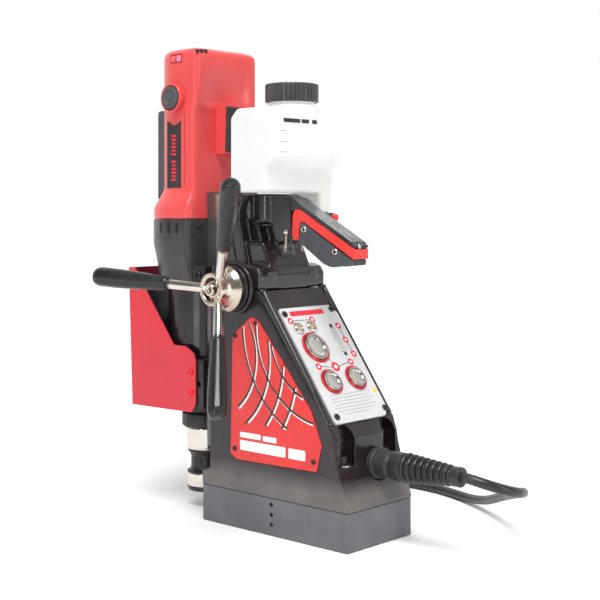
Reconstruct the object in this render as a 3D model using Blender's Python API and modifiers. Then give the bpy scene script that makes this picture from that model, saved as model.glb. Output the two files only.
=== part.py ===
"""Magnetic drill press, as an assembly of separate solids.

Frame: +Z up, origin at the centre of the magnet's bottom face, the drill spindle towards -Y, the control panel
towards +Y and the feed capstan towards +X. Lengths in this file are in millimetres, and MM turns them into metres
where a mesh is made. The carriage stands at the bottom of its stroke.
"""
import math

import bmesh
import bpy
from mathutils import Matrix, Vector

MM = 0.001
GAP = 0.3                       # left between touching pieces
NAME = "magnetic_drill_press"

# Magnet base
BASE_X = 84.0
BASE_Y = 170.0
MAGNET_Z = 32.0

# Main casting
CASTING_FRONT = -75.0
CASTING_TOP = 207.3
HALF_X = BASE_X / 2
PANEL_TOP_Y = -12.0             # where the slanted panel face starts at the casting's top
PANEL_FOOT_Y = 65.2             # where it ends
PANEL_FOOT_Z = 99.7
REAR_Y = 73.0                   # upright rear face under the panel
WEB_REAR_Y = -7.6               # where the hood's web ends and the handle starts
HANDLE_HALF_X = 9.3

# Feed
FEED_Y = -42.6                  # capstan axis
FEED_Z = 208.7
FEED_MODULE = 2.0
PINION_TEETH = 18
PINION_R = FEED_MODULE * PINION_TEETH / 2
STROKE = 140.0
ARM_TILT = math.radians(23.0)   # the arms lean away from the machine
ARM_FIRST = math.radians(-85.2)
ARM_X = 62.6                    # where the arms' axes meet on the capstan axis
ARM_JOINT = 48.0                # from there to where a grip starts
ARM_TIP = 121.0

# Drill head
SPINDLE_Y = -124.0
HEAD_REAR_Y = -97.3             # flat back of the gearbox
GEARBOX_R = 50.0
MOTOR_R = 40.0
GEARBOX_BOTTOM = 206.0
GEARBOX_TOP = 268.6
MOTOR_TOP = 425.8
ARBOR_BOTTOM = 14.7

# Gear train of the head, module 1, both stages at one centre distance
GEAR_MODULE = 1.0
GEAR_TEETH = {"armature": 14, "lay_wheel": 30, "lay_pinion": 12, "spindle": 32}
LAY_DISTANCE = 22.0

# Mains lead
CORD_D = 8.4
CORD_EXIT = (-8.0, 162.3, 65.0)
COIL_CENTRE = (-118.0, -88.0)
COIL_MEAN_R = 49.2
COIL_ROWS = 2                    # turns side by side
COIL_LAYERS = 4                  # turns on top of each other
PLUG_AXIS = (-64.6, 18.1)        # X and Z of the plug's axis, which runs along Y

PARTS = None
CUTTERS = None


# ---------------------------------------------------------------- scene and materials

def clear_scene():
    for obj in list(bpy.data.objects):
        bpy.data.objects.remove(obj)


def collection(name, hidden=False):
    group = bpy.data.collections.new(name)
    bpy.context.scene.collection.children.link(group)
    group.hide_render = hidden
    return group


def material(name, rgb, rough, metal=0.0, alpha=1.0):
    found = bpy.data.materials.get(name)
    if found:
        return found
    made = bpy.data.materials.new(name)
    made.use_nodes = True
    shader = made.node_tree.nodes["Principled BSDF"]
    shader.inputs["Base Color"].default_value = (*rgb, 1.0)
    shader.inputs["Roughness"].default_value = rough
    shader.inputs["Metallic"].default_value = metal
    shader.inputs["Alpha"].default_value = alpha
    return made


LOOKS = {
    "magnet_steel": ((0.16, 0.155, 0.16), 0.45, 0.4),
    "potting": ((0.03, 0.03, 0.035), 0.5),
    "black_casting": ((0.03, 0.03, 0.032), 0.25),
    "red_plate": ((0.85, 0.05, 0.04), 0.35),
    "white_panel": ((0.85, 0.85, 0.85), 0.35),
    "steel": ((0.6, 0.6, 0.58), 0.3, 1.0),
    "chrome": ((0.8, 0.78, 0.74), 0.12, 1.0),
    "black_oxide": ((0.03, 0.03, 0.03), 0.4, 0.6),
    "red_plastic": ((0.8, 0.06, 0.05), 0.35),
    "grey_plastic": ((0.12, 0.12, 0.125), 0.5),
    "black_plastic": ((0.02, 0.02, 0.022), 0.35),
    "gearbox_paint": ((0.09, 0.08, 0.085), 0.5),
    "guard_red": ((0.8, 0.02, 0.06), 0.35),
    "tank_plastic": ((0.9, 0.9, 0.88), 0.4),
    "clear_lens": ((0.8, 0.85, 0.75), 0.1),
    "circuit_board": ((0.02, 0.2, 0.06), 0.5),
    "copper": ((0.7, 0.3, 0.15), 0.35, 1.0),
    "cord_rubber": ((0.03, 0.03, 0.03), 0.5),
}


def finish(obj, look, group=None):
    """Gives an object its material and its collection, and shades its round faces smooth."""
    (group or PARTS).objects.link(obj)
    if look:
        obj.data.materials.append(material(look, *LOOKS[look]))
        obj.data.shade_smooth()
        obj.data.set_sharp_from_angle(angle=math.radians(35))
    return obj


# ---------------------------------------------------------------- shapes

def mesh_object(name, bm, look=None, group=None):
    bmesh.ops.recalc_face_normals(bm, faces=bm.faces[:])
    mesh = bpy.data.meshes.new(name)
    bm.to_mesh(mesh)
    bm.free()
    return finish(bpy.data.objects.new(name, mesh), look, group)


def cutter(obj):
    """Moves an object to the cutters' collection."""
    for group in list(obj.users_collection):
        group.objects.unlink(obj)
    CUTTERS.objects.link(obj)
    obj.hide_render = True
    obj.display_type = "WIRE"
    return obj


def box(name, low, high, look=None, bevel=0.0, segments=2, along=None):
    """A box between two corners, with its edges rounded, or only those that run along one axis."""
    low, high = Vector(low) * MM, Vector(high) * MM
    bm = bmesh.new()
    bmesh.ops.create_cube(bm, size=1.0)
    bmesh.ops.scale(bm, vec=high - low, verts=bm.verts[:])
    if bevel:
        edges = bm.edges[:]
        if along is not None:
            edges = [e for e in edges if abs((e.verts[0].co - e.verts[1].co)[along]) > 1e-6]
        bmesh.ops.bevel(bm, geom=edges, offset=bevel * MM, segments=segments, affect="EDGES", profile=0.5)
    obj = mesh_object(name, bm, look)
    obj.matrix_world = Matrix.Translation((low + high) / 2)
    return obj


def turn_to(axis):
    return Vector((0, 0, 1)).rotation_difference(Vector(axis).normalized()).to_matrix().to_4x4()


def rod(name, start, end, radius, look=None, end_radius=None, sides=32):
    """A cylinder or cone from one point to another."""
    start, end = Vector(start) * MM, Vector(end) * MM
    bm = bmesh.new()
    bmesh.ops.create_cone(
        bm, cap_ends=True, segments=sides, radius1=radius * MM,
        radius2=(radius if end_radius is None else end_radius) * MM, depth=(end - start).length,
    )
    obj = mesh_object(name, bm, look)
    obj.matrix_world = Matrix.Translation((start + end) / 2) @ turn_to(end - start)
    return obj


def turned(name, profile, origin, axis, look=None, steps=40):
    """A turned solid: profile holds (radius, height) pairs, from the top of the axis down the outer side and, for a
    hollow piece, back up the bore."""
    points = [Vector((r * MM, 0, h * MM)) for r, h in profile]
    closed = points[0].x > 0 or points[-1].x > 0
    bm = bmesh.new()
    verts = [bm.verts.new(p) for p in points]
    for a, b in zip(verts, verts[1:]):
        bm.edges.new((a, b))
    if closed:
        bm.edges.new((verts[-1], verts[0]))
    mesh = bpy.data.meshes.new(name)
    bm.to_mesh(mesh)
    bm.free()
    obj = finish(bpy.data.objects.new(name, mesh), look)
    screw = obj.modifiers.new("turn", "SCREW")
    screw.steps = steps
    screw.render_steps = steps
    screw.use_merge_vertices = True
    screw.merge_threshold = 0.00001
    screw.use_smooth_shade = True
    obj.matrix_world = Matrix.Translation(Vector(origin) * MM) @ turn_to(axis)
    return obj


def apply(obj):
    """Turns an object with modifiers, or a curve, into a plain mesh object of the same name and place."""
    bpy.context.view_layer.update()
    evaluated = obj.evaluated_get(bpy.context.evaluated_depsgraph_get())
    mesh = bpy.data.meshes.new_from_object(evaluated)
    bm = bmesh.new()
    bm.from_mesh(mesh)
    bmesh.ops.remove_doubles(bm, verts=bm.verts[:], dist=0.000002)
    bmesh.ops.recalc_face_normals(bm, faces=bm.faces[:])
    bm.to_mesh(mesh)
    bm.free()
    name, world, group = obj.name, obj.matrix_world.copy(), obj.users_collection[0]
    bpy.data.objects.remove(obj)
    made = bpy.data.objects.new(name, mesh)
    made.matrix_world = world
    group.objects.link(made)
    return made


def plate(name, outline, low, high, look=None, plane="YZ"):
    """A flat outline with a thickness: in plane YZ it runs from low to high along X, in XY along Z."""
    curve = bpy.data.curves.new(name, "CURVE")
    curve.dimensions = "2D"
    curve.fill_mode = "BOTH"
    curve.extrude = (high - low) / 2 * MM
    spline = curve.splines.new("POLY")
    spline.points.add(len(outline) - 1)
    for point, (a, b) in zip(spline.points, outline):
        point.co = (a * MM, b * MM, 0, 1)
    spline.use_cyclic_u = True
    obj = bpy.data.objects.new(name, curve)
    PARTS.objects.link(obj)
    middle = (low + high) / 2 * MM
    if plane == "YZ":
        axes = Matrix(((0, 0, 1), (1, 0, 0), (0, 1, 0))).to_4x4()
        obj.matrix_world = Matrix.Translation((middle, 0, 0)) @ axes
    else:
        obj.matrix_world = Matrix.Translation((0, 0, middle))
    made = apply(obj)
    if look:
        made.data.materials.append(material(look, *LOOKS[look]))
        made.data.shade_smooth()
        made.data.set_sharp_from_angle(angle=math.radians(35))
    return made


def rounded(points, radius, steps=4):
    """Rounds an outline's corners: radius is one number, or one for each corner."""
    made = []
    count = len(points)
    for i, corner in enumerate(points):
        r = radius[i] if isinstance(radius, (list, tuple)) else radius
        here = Vector(corner)
        if not r:
            made.append(tuple(here))
            continue
        before = (Vector(points[i - 1]) - here).normalized()
        after = (Vector(points[(i + 1) % count]) - here).normalized()
        half = before.angle(after) / 2
        reach = r / math.tan(half)
        start, end = here + before * reach, here + after * reach
        for k in range(steps + 1):
            t = k / steps
            curve = start * (1 - t) ** 2 + here * 2 * t * (1 - t) + end * t ** 2
            made.append(tuple(curve))
    return made


def boolean(obj, other, operation):
    change = obj.modifiers.new(operation.lower(), "BOOLEAN")
    change.operation = operation
    change.solver = "EXACT"
    change.object = other
    cutter(other)
    return obj


def cut(obj, *others):
    for other in others:
        boolean(obj, other, "DIFFERENCE")
    return obj


def join(obj, *others):
    for other in others:
        boolean(obj, other, "UNION")
    return obj


def loft(name, rings, look=None):
    """A closed solid through rings of equally many points, capped at both ends."""
    bm = bmesh.new()
    loops = [[bm.verts.new(Vector(p) * MM) for p in ring] for ring in rings]
    count = len(loops[0])
    for a, b in zip(loops, loops[1:]):
        for i in range(count):
            j = (i + 1) % count
            bm.faces.new((a[i], a[j], b[j], b[i]))
    bm.faces.new(loops[0])
    bm.faces.new(loops[-1])
    return mesh_object(name, bm, look)


def empty(name, matrix):
    obj = bpy.data.objects.new(name, None)
    PARTS.objects.link(obj)
    obj.matrix_world = matrix
    return obj


def under(obj, parent):
    """Parents an object and keeps its place."""
    bpy.context.view_layer.update()
    world = obj.matrix_world.copy()
    obj.parent = parent
    obj.matrix_parent_inverse = parent.matrix_world.inverted()
    obj.matrix_world = world
    return obj


def gear_outline(teeth, module, phase, tooth_share=0.36):
    """A gear's outline about the origin: straight-sided teeth, thin enough to leave backlash."""
    root = module * (teeth / 2 - 1.2)
    tip = module * (teeth / 2 + 0.8)
    pitch = 2 * math.pi / teeth
    points = []
    for i in range(teeth):
        middle = phase + i * pitch
        for share, radius in ((-0.62, root), (-0.24, tip), (0.24, tip), (0.62, root)):
            angle = middle + share * tooth_share * pitch
            points.append((radius * math.cos(angle), radius * math.sin(angle)))
    return points


# ---------------------------------------------------------------- magnet base

def magnet_base():
    housing = box("magnet_housing", (-HALF_X, -BASE_Y / 2, 0), (HALF_X, BASE_Y / 2, MAGNET_Z), "magnet_steel", 0.7, 1)
    groove = plate("magnet_groove", racetrack(33, 75, 12), -1, 23, plane="XY")
    pole = plate("magnet_pole", racetrack(17, 59, 8), -2, 24, plane="XY")
    groove = apply(cut(groove, pole))
    cut(housing, groove)
    for z in (9.1, 17.6, 26.1):
        cut(housing, rod("magnet_vent", (HALF_X - 6, 0, z), (HALF_X + 2, 0, z), 2.0, sides=12))
    for x, y in BOLTS.values():
        cut(housing, rod("magnet_tap", (x, y, 24), (x, y, 34), 3.3, sides=16))
    coil = plate("magnet_coil", racetrack(33 - GAP, 75 - GAP, 12), 0.5, 23 - GAP, "potting", plane="XY")
    hole = plate("magnet_coil_hole", racetrack(17 + GAP, 59 + GAP, 8), -1, 26, plane="XY")
    cut(coil, hole)


def racetrack(half_x, half_y, radius):
    return rounded([(-half_x, -half_y), (half_x, -half_y), (half_x, half_y), (-half_x, half_y)], radius, 4)


BOLTS = {"left": (-27.0, 66.0), "right": (27.0, 66.0)}
BOLT_SEAT = 66.0                # height of the pocket's floor, under the bolt's head


def magnet_bolts():
    low = 25.5 - BOLT_SEAT
    profile = [(0, 4), (2.6, 4), (2.6, 8), (5, 8), (5, 0), (3, 0), (3, low), (0, low)]
    for side, (x, y) in BOLTS.items():
        turned("magnet_bolt_" + side, profile, (x, y, BOLT_SEAT + GAP), (0, 0, 1), "black_oxide", 20)


# ---------------------------------------------------------------- main casting

def panel_frame():
    """The slanted panel's frame: x to the right of someone facing it, y up the slope, z out of it."""
    slope = Vector((0, PANEL_FOOT_Y - PANEL_TOP_Y, PANEL_FOOT_Z - CASTING_TOP)).normalized()
    up = -slope
    right = Vector((-1, 0, 0))
    out = right.cross(up)
    matrix = Matrix((right, up, out)).transposed().to_4x4()
    matrix.translation = Vector((0, PANEL_TOP_Y, CASTING_TOP)) * MM
    return matrix


SIDE_WINDOW = [(-41, 68), (45, 68), (49, 82), (40, 106), (14, 136), (-20, 174), (-41, 161)]
SIDE_PLATE = [(-23.5, 184.6), (-46.3, 167.5), (-48.8, 63.9), (-41.3, 59.6), (52.1, 61.5), (57.6, 83.7),
              (46.6, 110.3), (19.5, 142.6), (-15.7, 182.4)]


def main_casting():
    body = casting_block()
    cut(body, plate("casting_inside", SIDE_WINDOW, -50, 50))
    # Shallow seats for the two side plates
    for side in (-1, 1):
        low, high = sorted((side * (HALF_X - 2.2), side * (HALF_X + 3)))
        cut(body, plate("side_seat", grown(SIDE_PLATE, GAP), low, high))
    # Opening behind the control panel
    frame = panel_frame()
    hole = box("panel_opening", (-30, -124, -40), (30, -30, 5))
    hole.matrix_world = frame @ hole.matrix_world
    cut(body, hole)
    cut(body, rod("gland_hole", (-8, 40, 65), (-8, 90, 65), 9.0))
    cut(body, rod("gland_seat", (-8, REAR_Y + GAP, 65), (-8, 100, 65), 14.2))
    for x, y in BOLTS.values():
        cut(body, rod("bolt_hole", (x, y, 25), (x, y, 80), 3.3, sides=16))
        cut(body, bolt_pocket(x, y))
    feed_cuts(body)


def casting_block():
    """The outer block: an upright front, a slanted panel face and a flared foot. The rim along the panel's two
    sides is rounded."""
    outline = [(-85, 32 + GAP), (85, 32 + GAP), (85, 34.5), (REAR_Y, 70), (REAR_Y, 89.4), (PANEL_FOOT_Y, PANEL_FOOT_Z),
               (PANEL_TOP_Y, CASTING_TOP), (CASTING_FRONT, CASTING_TOP), (CASTING_FRONT, 48), (-85, 43)]
    bm = bmesh.new()
    sides = [[bm.verts.new((x * MM, y * MM, z * MM)) for y, z in outline] for x in (-HALF_X, HALF_X)]
    count = len(outline)
    bm.faces.new(sides[0])
    bm.faces.new(sides[1])
    rims = []
    for i in range(count):
        j = (i + 1) % count
        bm.faces.new((sides[0][i], sides[0][j], sides[1][j], sides[1][i]))
        if i in (3, 4, 5):
            rims += [bm.edges.get((side[i], side[j])) for side in sides]
    bmesh.ops.bevel(bm, geom=rims, offset=7.0 * MM, segments=4, affect="EDGES", profile=0.5)
    return mesh_object("main_casting", bm, "black_casting")


def grown(points, distance):
    """A convex outline moved outwards by a distance, from its middle."""
    middle = sum((Vector(p) for p in points), Vector((0, 0))) / len(points)
    return [tuple(Vector(p) + (Vector(p) - middle).normalized() * distance) for p in points]


def bolt_pocket(x, y):
    """A round pocket over a magnet bolt, open to the outside, with a domed top."""
    profile = [(0, 34), (5, 33), (9, 29), (11, 22), (11, 0), (0, 0)]
    return apply(turned("bolt_pocket", profile, (x, y, BOLT_SEAT), (0, 0, 1), None, 24))


def feed_cuts(body):
    """Room for the rack, the pinion and the feed shaft's bushes, in either housing that they pass through."""
    cut(body, box("rack_channel", (-9.5, CASTING_FRONT - 20, 40), (9.5, -57, 300)))
    cut(body, rod("pinion_room", (-11, FEED_Y, FEED_Z), (11, FEED_Y, FEED_Z), 22.0, sides=40))
    cut(body, rod("bush_hole", (-60, FEED_Y, FEED_Z), (60, FEED_Y, FEED_Z), 12.0 + GAP, sides=32))


def side_plates():
    plate("side_plate_right", SIDE_PLATE, HALF_X - 1.9, HALF_X + 0.4, "red_plate")
    plate("side_plate_left", SIDE_PLATE, -HALF_X - 0.4, -HALF_X + 1.9, "red_plate")


# ---------------------------------------------------------------- control panel

BUTTONS = {"magnet": (-13.4, -60.5, 12.4), "start": (-14.9, -93.8, 9.4), "stop": (16.7, -93.6, 9.4)}
LAMPS = {"power": (-22.3, -40.7), "ready": (-6.0, -40.2)}


def control_panel():
    frame = panel_frame()
    panel = empty("panel_frame", frame)
    corners = [(-35, -20), (30, -20), (36.5, -29), (36.5, -125), (30, -132), (-35, -132)]
    board = plate("control_panel", rounded(corners, [3, 3, 3, 3, 3, 3], 3), GAP, 2.3, "white_panel", plane="XY")
    board.matrix_world = frame @ board.matrix_world
    for name, (x, y, r) in BUTTONS.items():
        hole = rod("button_hole", (x, y, -3), (x, y, 6), r + 1.8, sides=40)
        hole.matrix_world = frame @ hole.matrix_world
        cut(board, hole)
    for name, (x, y) in LAMPS.items():
        hole = rod("lamp_hole", (x, y, -3), (x, y, 6), 4.0, sides=20)
        hole.matrix_world = frame @ hole.matrix_world
        cut(board, hole)
    slot = box("strip_slot", (16.4, -67.5, -3), (22.4, -43.5, 6))
    slot.matrix_world = frame @ slot.matrix_world
    cut(board, slot)
    under(board, panel)
    for name, (x, y, r) in BUTTONS.items():
        button(panel, frame, name, x, y, r)
    for name, (x, y) in LAMPS.items():
        lamp = turned("lamp_" + name, [(0, 5.2), (2.6, 4.6), (3.4, 3.6), (5.4, 3.2), (5.4, 2.6), (3.7, 2.6), (3.7, -8),
                                       (0, -8)], (0, 0, 0), (0, 0, 1), "steel", 24)
        lamp.matrix_world = frame @ Matrix.Translation(Vector((x, y, 0)) * MM)
        under(lamp, panel)
    lens = box("load_strip", (16.7, -67.2, -4), (22.1, -43.8, 3.0), "clear_lens", 0.4, 1)
    lens.matrix_world = frame @ lens.matrix_world
    under(lens, panel)
    circuit = box("control_board", (-27, -120, -26), (27, -34, -24), "circuit_board")
    circuit.matrix_world = frame @ circuit.matrix_world
    under(circuit, panel)


def button(panel, frame, name, x, y, r):
    """A fixed bezel ring on the panel, and the button of radius r that presses into it."""
    bore = r + GAP
    ring = turned("bezel_" + name, [(bore, 5.6), (r + 1.2, 5.6), (r + 2.6, 4.4), (r + 2.6, 2.6), (r + 1.5, 2.6),
                                    (r + 1.5, -9), (bore, -9)], (0, 0, 0), (0, 0, 1), "red_plastic", 40)
    ring.matrix_world = frame @ Matrix.Translation(Vector((x, y, 0)) * MM)
    under(ring, panel)
    cap = turned("button_" + name, [(0, 7.0), (r - 2.2, 7.0), (r - 1.6, 7.6), (r - 0.6, 7.4), (r, 6.8), (r, -6),
                                    (4, -6), (4, -16), (0, -16)], (0, 0, 0), (0, 0, 1), "steel", 40)
    cap.matrix_world = frame @ Matrix.Translation(Vector((x, y, 0)) * MM)
    under(cap, panel)


# ---------------------------------------------------------------- feed: guides, carriage, capstan

RAIL_Z = (62.0, 291.0)


def guides():
    for side, name in ((1, "right"), (-1, "left")):
        outline = [(side * 14, -84), (side * 27, -84), (side * 27, CASTING_FRONT - GAP), (side * 19, CASTING_FRONT - GAP)]
        plate("guide_rail_" + name, outline, *RAIL_Z, "steel", plane="XY")
    turned("feed_bush", [(8.05, -12), (12, -12), (12, 0.5 - HALF_X), (8.05, 0.5 - HALF_X)], (0, FEED_Y, FEED_Z),
           (1, 0, 0), "copper", 32)


def carriage():
    outline = [(-25, -97), (25, -97), (25, -84 - GAP), (13.6, -84 - GAP), (18.4, CASTING_FRONT - 2 * GAP),
               (-18.4, CASTING_FRONT - 2 * GAP), (-13.6, -84 - GAP), (-25, -84 - GAP)]
    plate("slide_carriage", outline, 62, 293, "steel", plane="XY")
    rack()
    for side, name in ((1, "right"), (-1, "left")):
        low, high = sorted((side * (25 + GAP), side * 40.6))
        block = box("guard_bracket_" + name, (low, -97, 98), (high, -86, 142), "black_oxide", 1.0)
        cut(block, rod("bracket_hole", (0, -91.5, 120), (side * 50, -91.5, 120), 2.6, sides=16))


def rack():
    """A rack with straight-sided teeth. Its pitch line touches the pinion's pitch circle, and a tooth gap faces the
    pinion's tooth at rest."""
    pitch = math.pi * FEED_MODULE
    line = FEED_Y - PINION_R
    root, tip = line - 1.2 * FEED_MODULE, line + 0.8 * FEED_MODULE
    back = CASTING_FRONT - 0.3
    count = int((STROKE + 26) / pitch)
    start = FEED_Z + 0.5 * pitch + pitch * 2
    points = [(back, start + pitch)]
    points.append((root, start + pitch))
    for i in range(count):
        middle = start - i * pitch
        for share, y in ((0.62, root), (0.24, tip), (-0.24, tip), (-0.62, root)):
            points.append((y, middle + share * 0.36 * pitch))
    end = start - count * pitch
    points += [(root, end), (back, end)]
    plate("feed_rack", points, -6.5, 6.5, "steel")


def capstan():
    turning = empty("capstan_axis", Matrix.Translation(Vector((0, FEED_Y, FEED_Z)) * MM))
    gear = plate("feed_pinion", gear_outline(PINION_TEETH, FEED_MODULE, math.pi), -10, 10, "steel")
    gear.location.y += FEED_Y * MM
    gear.location.z += FEED_Z * MM
    join(gear, rod("feed_shaft", (-38, FEED_Y, FEED_Z), (66, FEED_Y, FEED_Z), 8.0, sides=32))
    hub_profile = [(8.3, 69), (8.3, 69.4), (9.8, 69.4), (9.8, 72.4), (13.6, 72.4), (14.4, 71.6), (14.4, 66.8),
                   (17, 59), (20.2, 55), (19.3, 54), (19.3, 48.6), (20.3, 47.7), (20.3, 46.6), (8.3, 46.6)]
    hub = turned("capstan_hub", hub_profile, (0, FEED_Y, FEED_Z), (1, 0, 0), "chrome", 40)
    nut = turned("hub_nut", [(0, 75.0), (4.5, 75.0), (7.2, 74.0), (7.2, 69.8), (4, 69.8), (4, 66 + GAP), (0, 66 + GAP)],
                 (0, FEED_Y, FEED_Z), (1, 0, 0), "chrome", 24)
    moving = [gear, hub, nut]
    for k in range(3):
        direction = arm_direction(k)
        centre = Vector((ARM_X, FEED_Y, FEED_Z))
        cut(hub, rod("arm_hole", centre + direction * 11.2, centre + direction * 40, 4.5 + GAP, sides=24))
        moving.append(rod(f"arm_rod_{k + 1}", centre + direction * 11.5, centre + direction * ARM_JOINT, 4.5,
                          "chrome", sides=24))
        profile = [(0, ARM_TIP), (4, ARM_TIP - 0.4), (7.2, ARM_TIP - 3), (8.6, ARM_TIP - 7.5), (8.2, ARM_TIP - 24),
                   (6.2, ARM_JOINT + 3), (5.4, ARM_JOINT + GAP), (0, ARM_JOINT + GAP)]
        moving.append(turned(f"arm_grip_{k + 1}", profile, centre, direction, "black_plastic", 24))
    for piece in moving:
        under(piece, turning)
    turned("hub_flange", [(8.05, 46.3), (21.5, 46.3), (23, 45), (23, 42.6), (12, 42.6), (12, 12), (8.05, 12)],
           (0, FEED_Y, FEED_Z), (1, 0, 0), "black_casting", 48)


def arm_direction(k):
    angle = ARM_FIRST + k * 2 * math.pi / 3
    flat = math.cos(ARM_TILT)
    return Vector((math.sin(ARM_TILT), flat * math.sin(angle), flat * math.cos(angle)))


# ---------------------------------------------------------------- drill head

def head_section(radius, depth, z, count=40, power=7.0):
    """A section of the head: a half circle in front, and a nearly square back with rounded corners."""
    points = []
    for i in range(count):
        t = 2 * math.pi * i / count
        c, s = math.cos(t), math.sin(t)
        if s < 0:
            points.append((radius * c, SPINDLE_Y + radius * s, z))
        else:
            x = radius * math.copysign(abs(c) ** (2 / power), c)
            points.append((x, SPINDLE_Y + depth * s ** (2 / power), z))
    return points


def gearbox():
    flat = HEAD_REAR_Y - SPINDLE_Y
    profile = [(0, GEARBOX_TOP), (GEARBOX_R, GEARBOX_TOP), (GEARBOX_R, 247), (46, 226), (44, GEARBOX_BOTTOM + 2),
               (42, GEARBOX_BOTTOM), (0, GEARBOX_BOTTOM)]
    housing = turned("gearbox_housing", profile, (0, SPINDLE_Y, 0), (0, 0, 1), "gearbox_paint", 48)
    back = box("gearbox_back", (-60, HEAD_REAR_Y, 150), (60, HEAD_REAR_Y + 60, 320))
    room = apply(turned("gear_room", [(0, 275), (41, 275), (41, GEARBOX_BOTTOM + 7), (0, GEARBOX_BOTTOM + 7)],
                        (0, SPINDLE_Y, 0), (0, 0, 1), None, 40))
    room_back = box("gear_room_back", (-60, SPINDLE_Y + flat - 7, 100), (60, SPINDLE_Y + 90, 330))
    cut(room, room_back)
    room = apply(room)
    cut(housing, back, room, rod("spindle_hole", (0, SPINDLE_Y, 190), (0, SPINDLE_Y, 230), 12.5))
    for side in (-1, 1):
        for y in (-132.7, -121.7, -110.8):
            low, high = sorted((side * 30, side * 60))
            cut(housing, box("vent_slot", (low, y - 1.6, 255.5), (high, y + 1.6, 265.5)))
    nose = [(13, 205.7), (36, 205.7), (36, 130), (33, 112), (25, 92), (23.5, 90), (13, 90)]
    spindle_housing = turned("spindle_housing", nose, (0, SPINDLE_Y, 0), (0, 0, 1), "black_casting", 40)
    cut(spindle_housing, box("nose_back", (-60, HEAD_REAR_Y, 60), (60, HEAD_REAR_Y + 60, 240)))


def motor():
    flange = HEAD_REAR_Y - SPINDLE_Y
    shape = [(GEARBOX_TOP + GAP, 49.5, flange), (278, 49.0, flange), (286, 45.5, 25.5), (297, MOTOR_R, 25),
             (366, MOTOR_R, 25), (374, MOTOR_R, 28), (412, MOTOR_R, 28), (420, 39.0, 27), (424, 36.0, 24),
             (MOTOR_TOP, 28, 16)]
    housing = loft("motor_housing", [head_section(r, d, z) for z, r, d in shape], "red_plastic")
    wall = 3.0
    inner = [(GEARBOX_TOP - 5, 44, flange - wall), (276, 44, flange - wall), (296, MOTOR_R - wall, 25 - wall),
             (408, MOTOR_R - wall, 25 - wall), (416, 32, 18)]
    room = loft("motor_room", [head_section(r, d, z) for z, r, d in inner])
    for side in (-1, 1):
        join(housing, rod("brush_boss", (side * 34, SPINDLE_Y, 379.4), (side * 46.5, SPINDLE_Y, 379.4), 13.5))
    join(housing, box("switch_boss", (-12.3, -102, 328), (12.3, -84.6, 374), None, 1.5))
    cut(housing, room)
    for side, name in ((1, "right"), (-1, "left")):
        cut(housing, rod("brush_hole", (side * 30, SPINDLE_Y, 379.4), (side * 60, SPINDLE_Y, 379.4), 8.5, sides=24))
        turned("brush_cap_" + name, [(0, 48.2), (9.6, 48.2), (10.6, 47.4), (10.6, 46.8), (8.2, 46.8), (8.2, 33),
                                     (0, 33)], (0, SPINDLE_Y, 379.4), (side, 0, 0), "black_plastic", 32)
    front = box("front_cover", (-22, -170, 286), (22, -150, 371), "grey_plastic", 2.5)
    cut(front, rod("motor_clear", (0, SPINDLE_Y, 250), (0, SPINDLE_Y, 400), MOTOR_R + GAP, sides=80))
    flare = loft("flare_clear", [head_section(r + 0.6, d + 0.5, z) for z, r, d in shape[:4]])
    cut(front, flare)
    turned("stator", [(16, 365), (21.5, 365), (21.5, 305), (16, 305)], (0, SPINDLE_Y, 0), (0, 0, 1), "copper", 40)


def gears():
    """The spindle, the layshaft beside it and the armature above it. Both stages share one centre distance, and the
    teeth are in mesh at rest: a tooth of each wheel points at a gap of its pinion."""
    lay_x = -LAY_DISTANCE
    turning = empty("spindle_axis", Matrix.Translation(Vector((0, SPINDLE_Y, 0)) * MM))
    spindle = turned("spindle", [(0, 227), (10.5, 227), (10.5, 89), (9.5, 89), (9.5, 60 + GAP), (0, 60 + GAP)],
                     (0, SPINDLE_Y, 0), (0, 0, 1), "steel", 32)
    join(spindle, gear_solid("spindle_wheel", "spindle", 0, 0.0, 216, 224))
    under(spindle, turning)
    layshaft = gear_solid("layshaft", "lay_pinion", lay_x, math.pi / GEAR_TEETH["lay_pinion"], 215, 231, "steel")
    wheel = gear_solid("lay_wheel", "lay_wheel", lay_x, 0.0, 230, 238)
    axle = rod("lay_axle", (lay_x, SPINDLE_Y, 213.5), (lay_x, SPINDLE_Y, 262), 3.5, sides=20)
    join(layshaft, wheel, axle)
    armature = turned("armature", [(0, 402), (4, 402), (4, 390), (12, 390), (12, 370), (15, 366), (15, 306), (4, 302),
                                   (4, 292), (19, 292), (19, 286), (4, 286), (4, 229.5), (0, 229.5)],
                      (0, SPINDLE_Y, 0), (0, 0, 1), "copper", 32)
    pinion = gear_solid("armature_pinion", "armature", 0, math.pi / GEAR_TEETH["armature"], 229, 238.5)
    under(join(armature, pinion), turning)
    arbor = [(0, 60), (9.8, 60), (9.8, 88.5), (23.5, 88.5), (23.5, 74), (19.8, 72.6), (19.8, 53.3), (14.8, 50.5),
             (14.8, 33.5), (18.8, 31.6), (18.8, 17.5), (16.8, ARBOR_BOTTOM), (9.55, ARBOR_BOTTOM), (9.55, 45), (0, 45)]
    under(turned("arbor", arbor, (0, SPINDLE_Y, 0), (0, 0, 1), "steel", 40), turning)


def gear_solid(name, kind, x, phase, low, high, look=None):
    gear = plate(name, gear_outline(GEAR_TEETH[kind], GEAR_MODULE, phase), low, high, look, plane="XY")
    gear.location.x += x * MM
    gear.location.y += SPINDLE_Y * MM
    return gear


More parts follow.
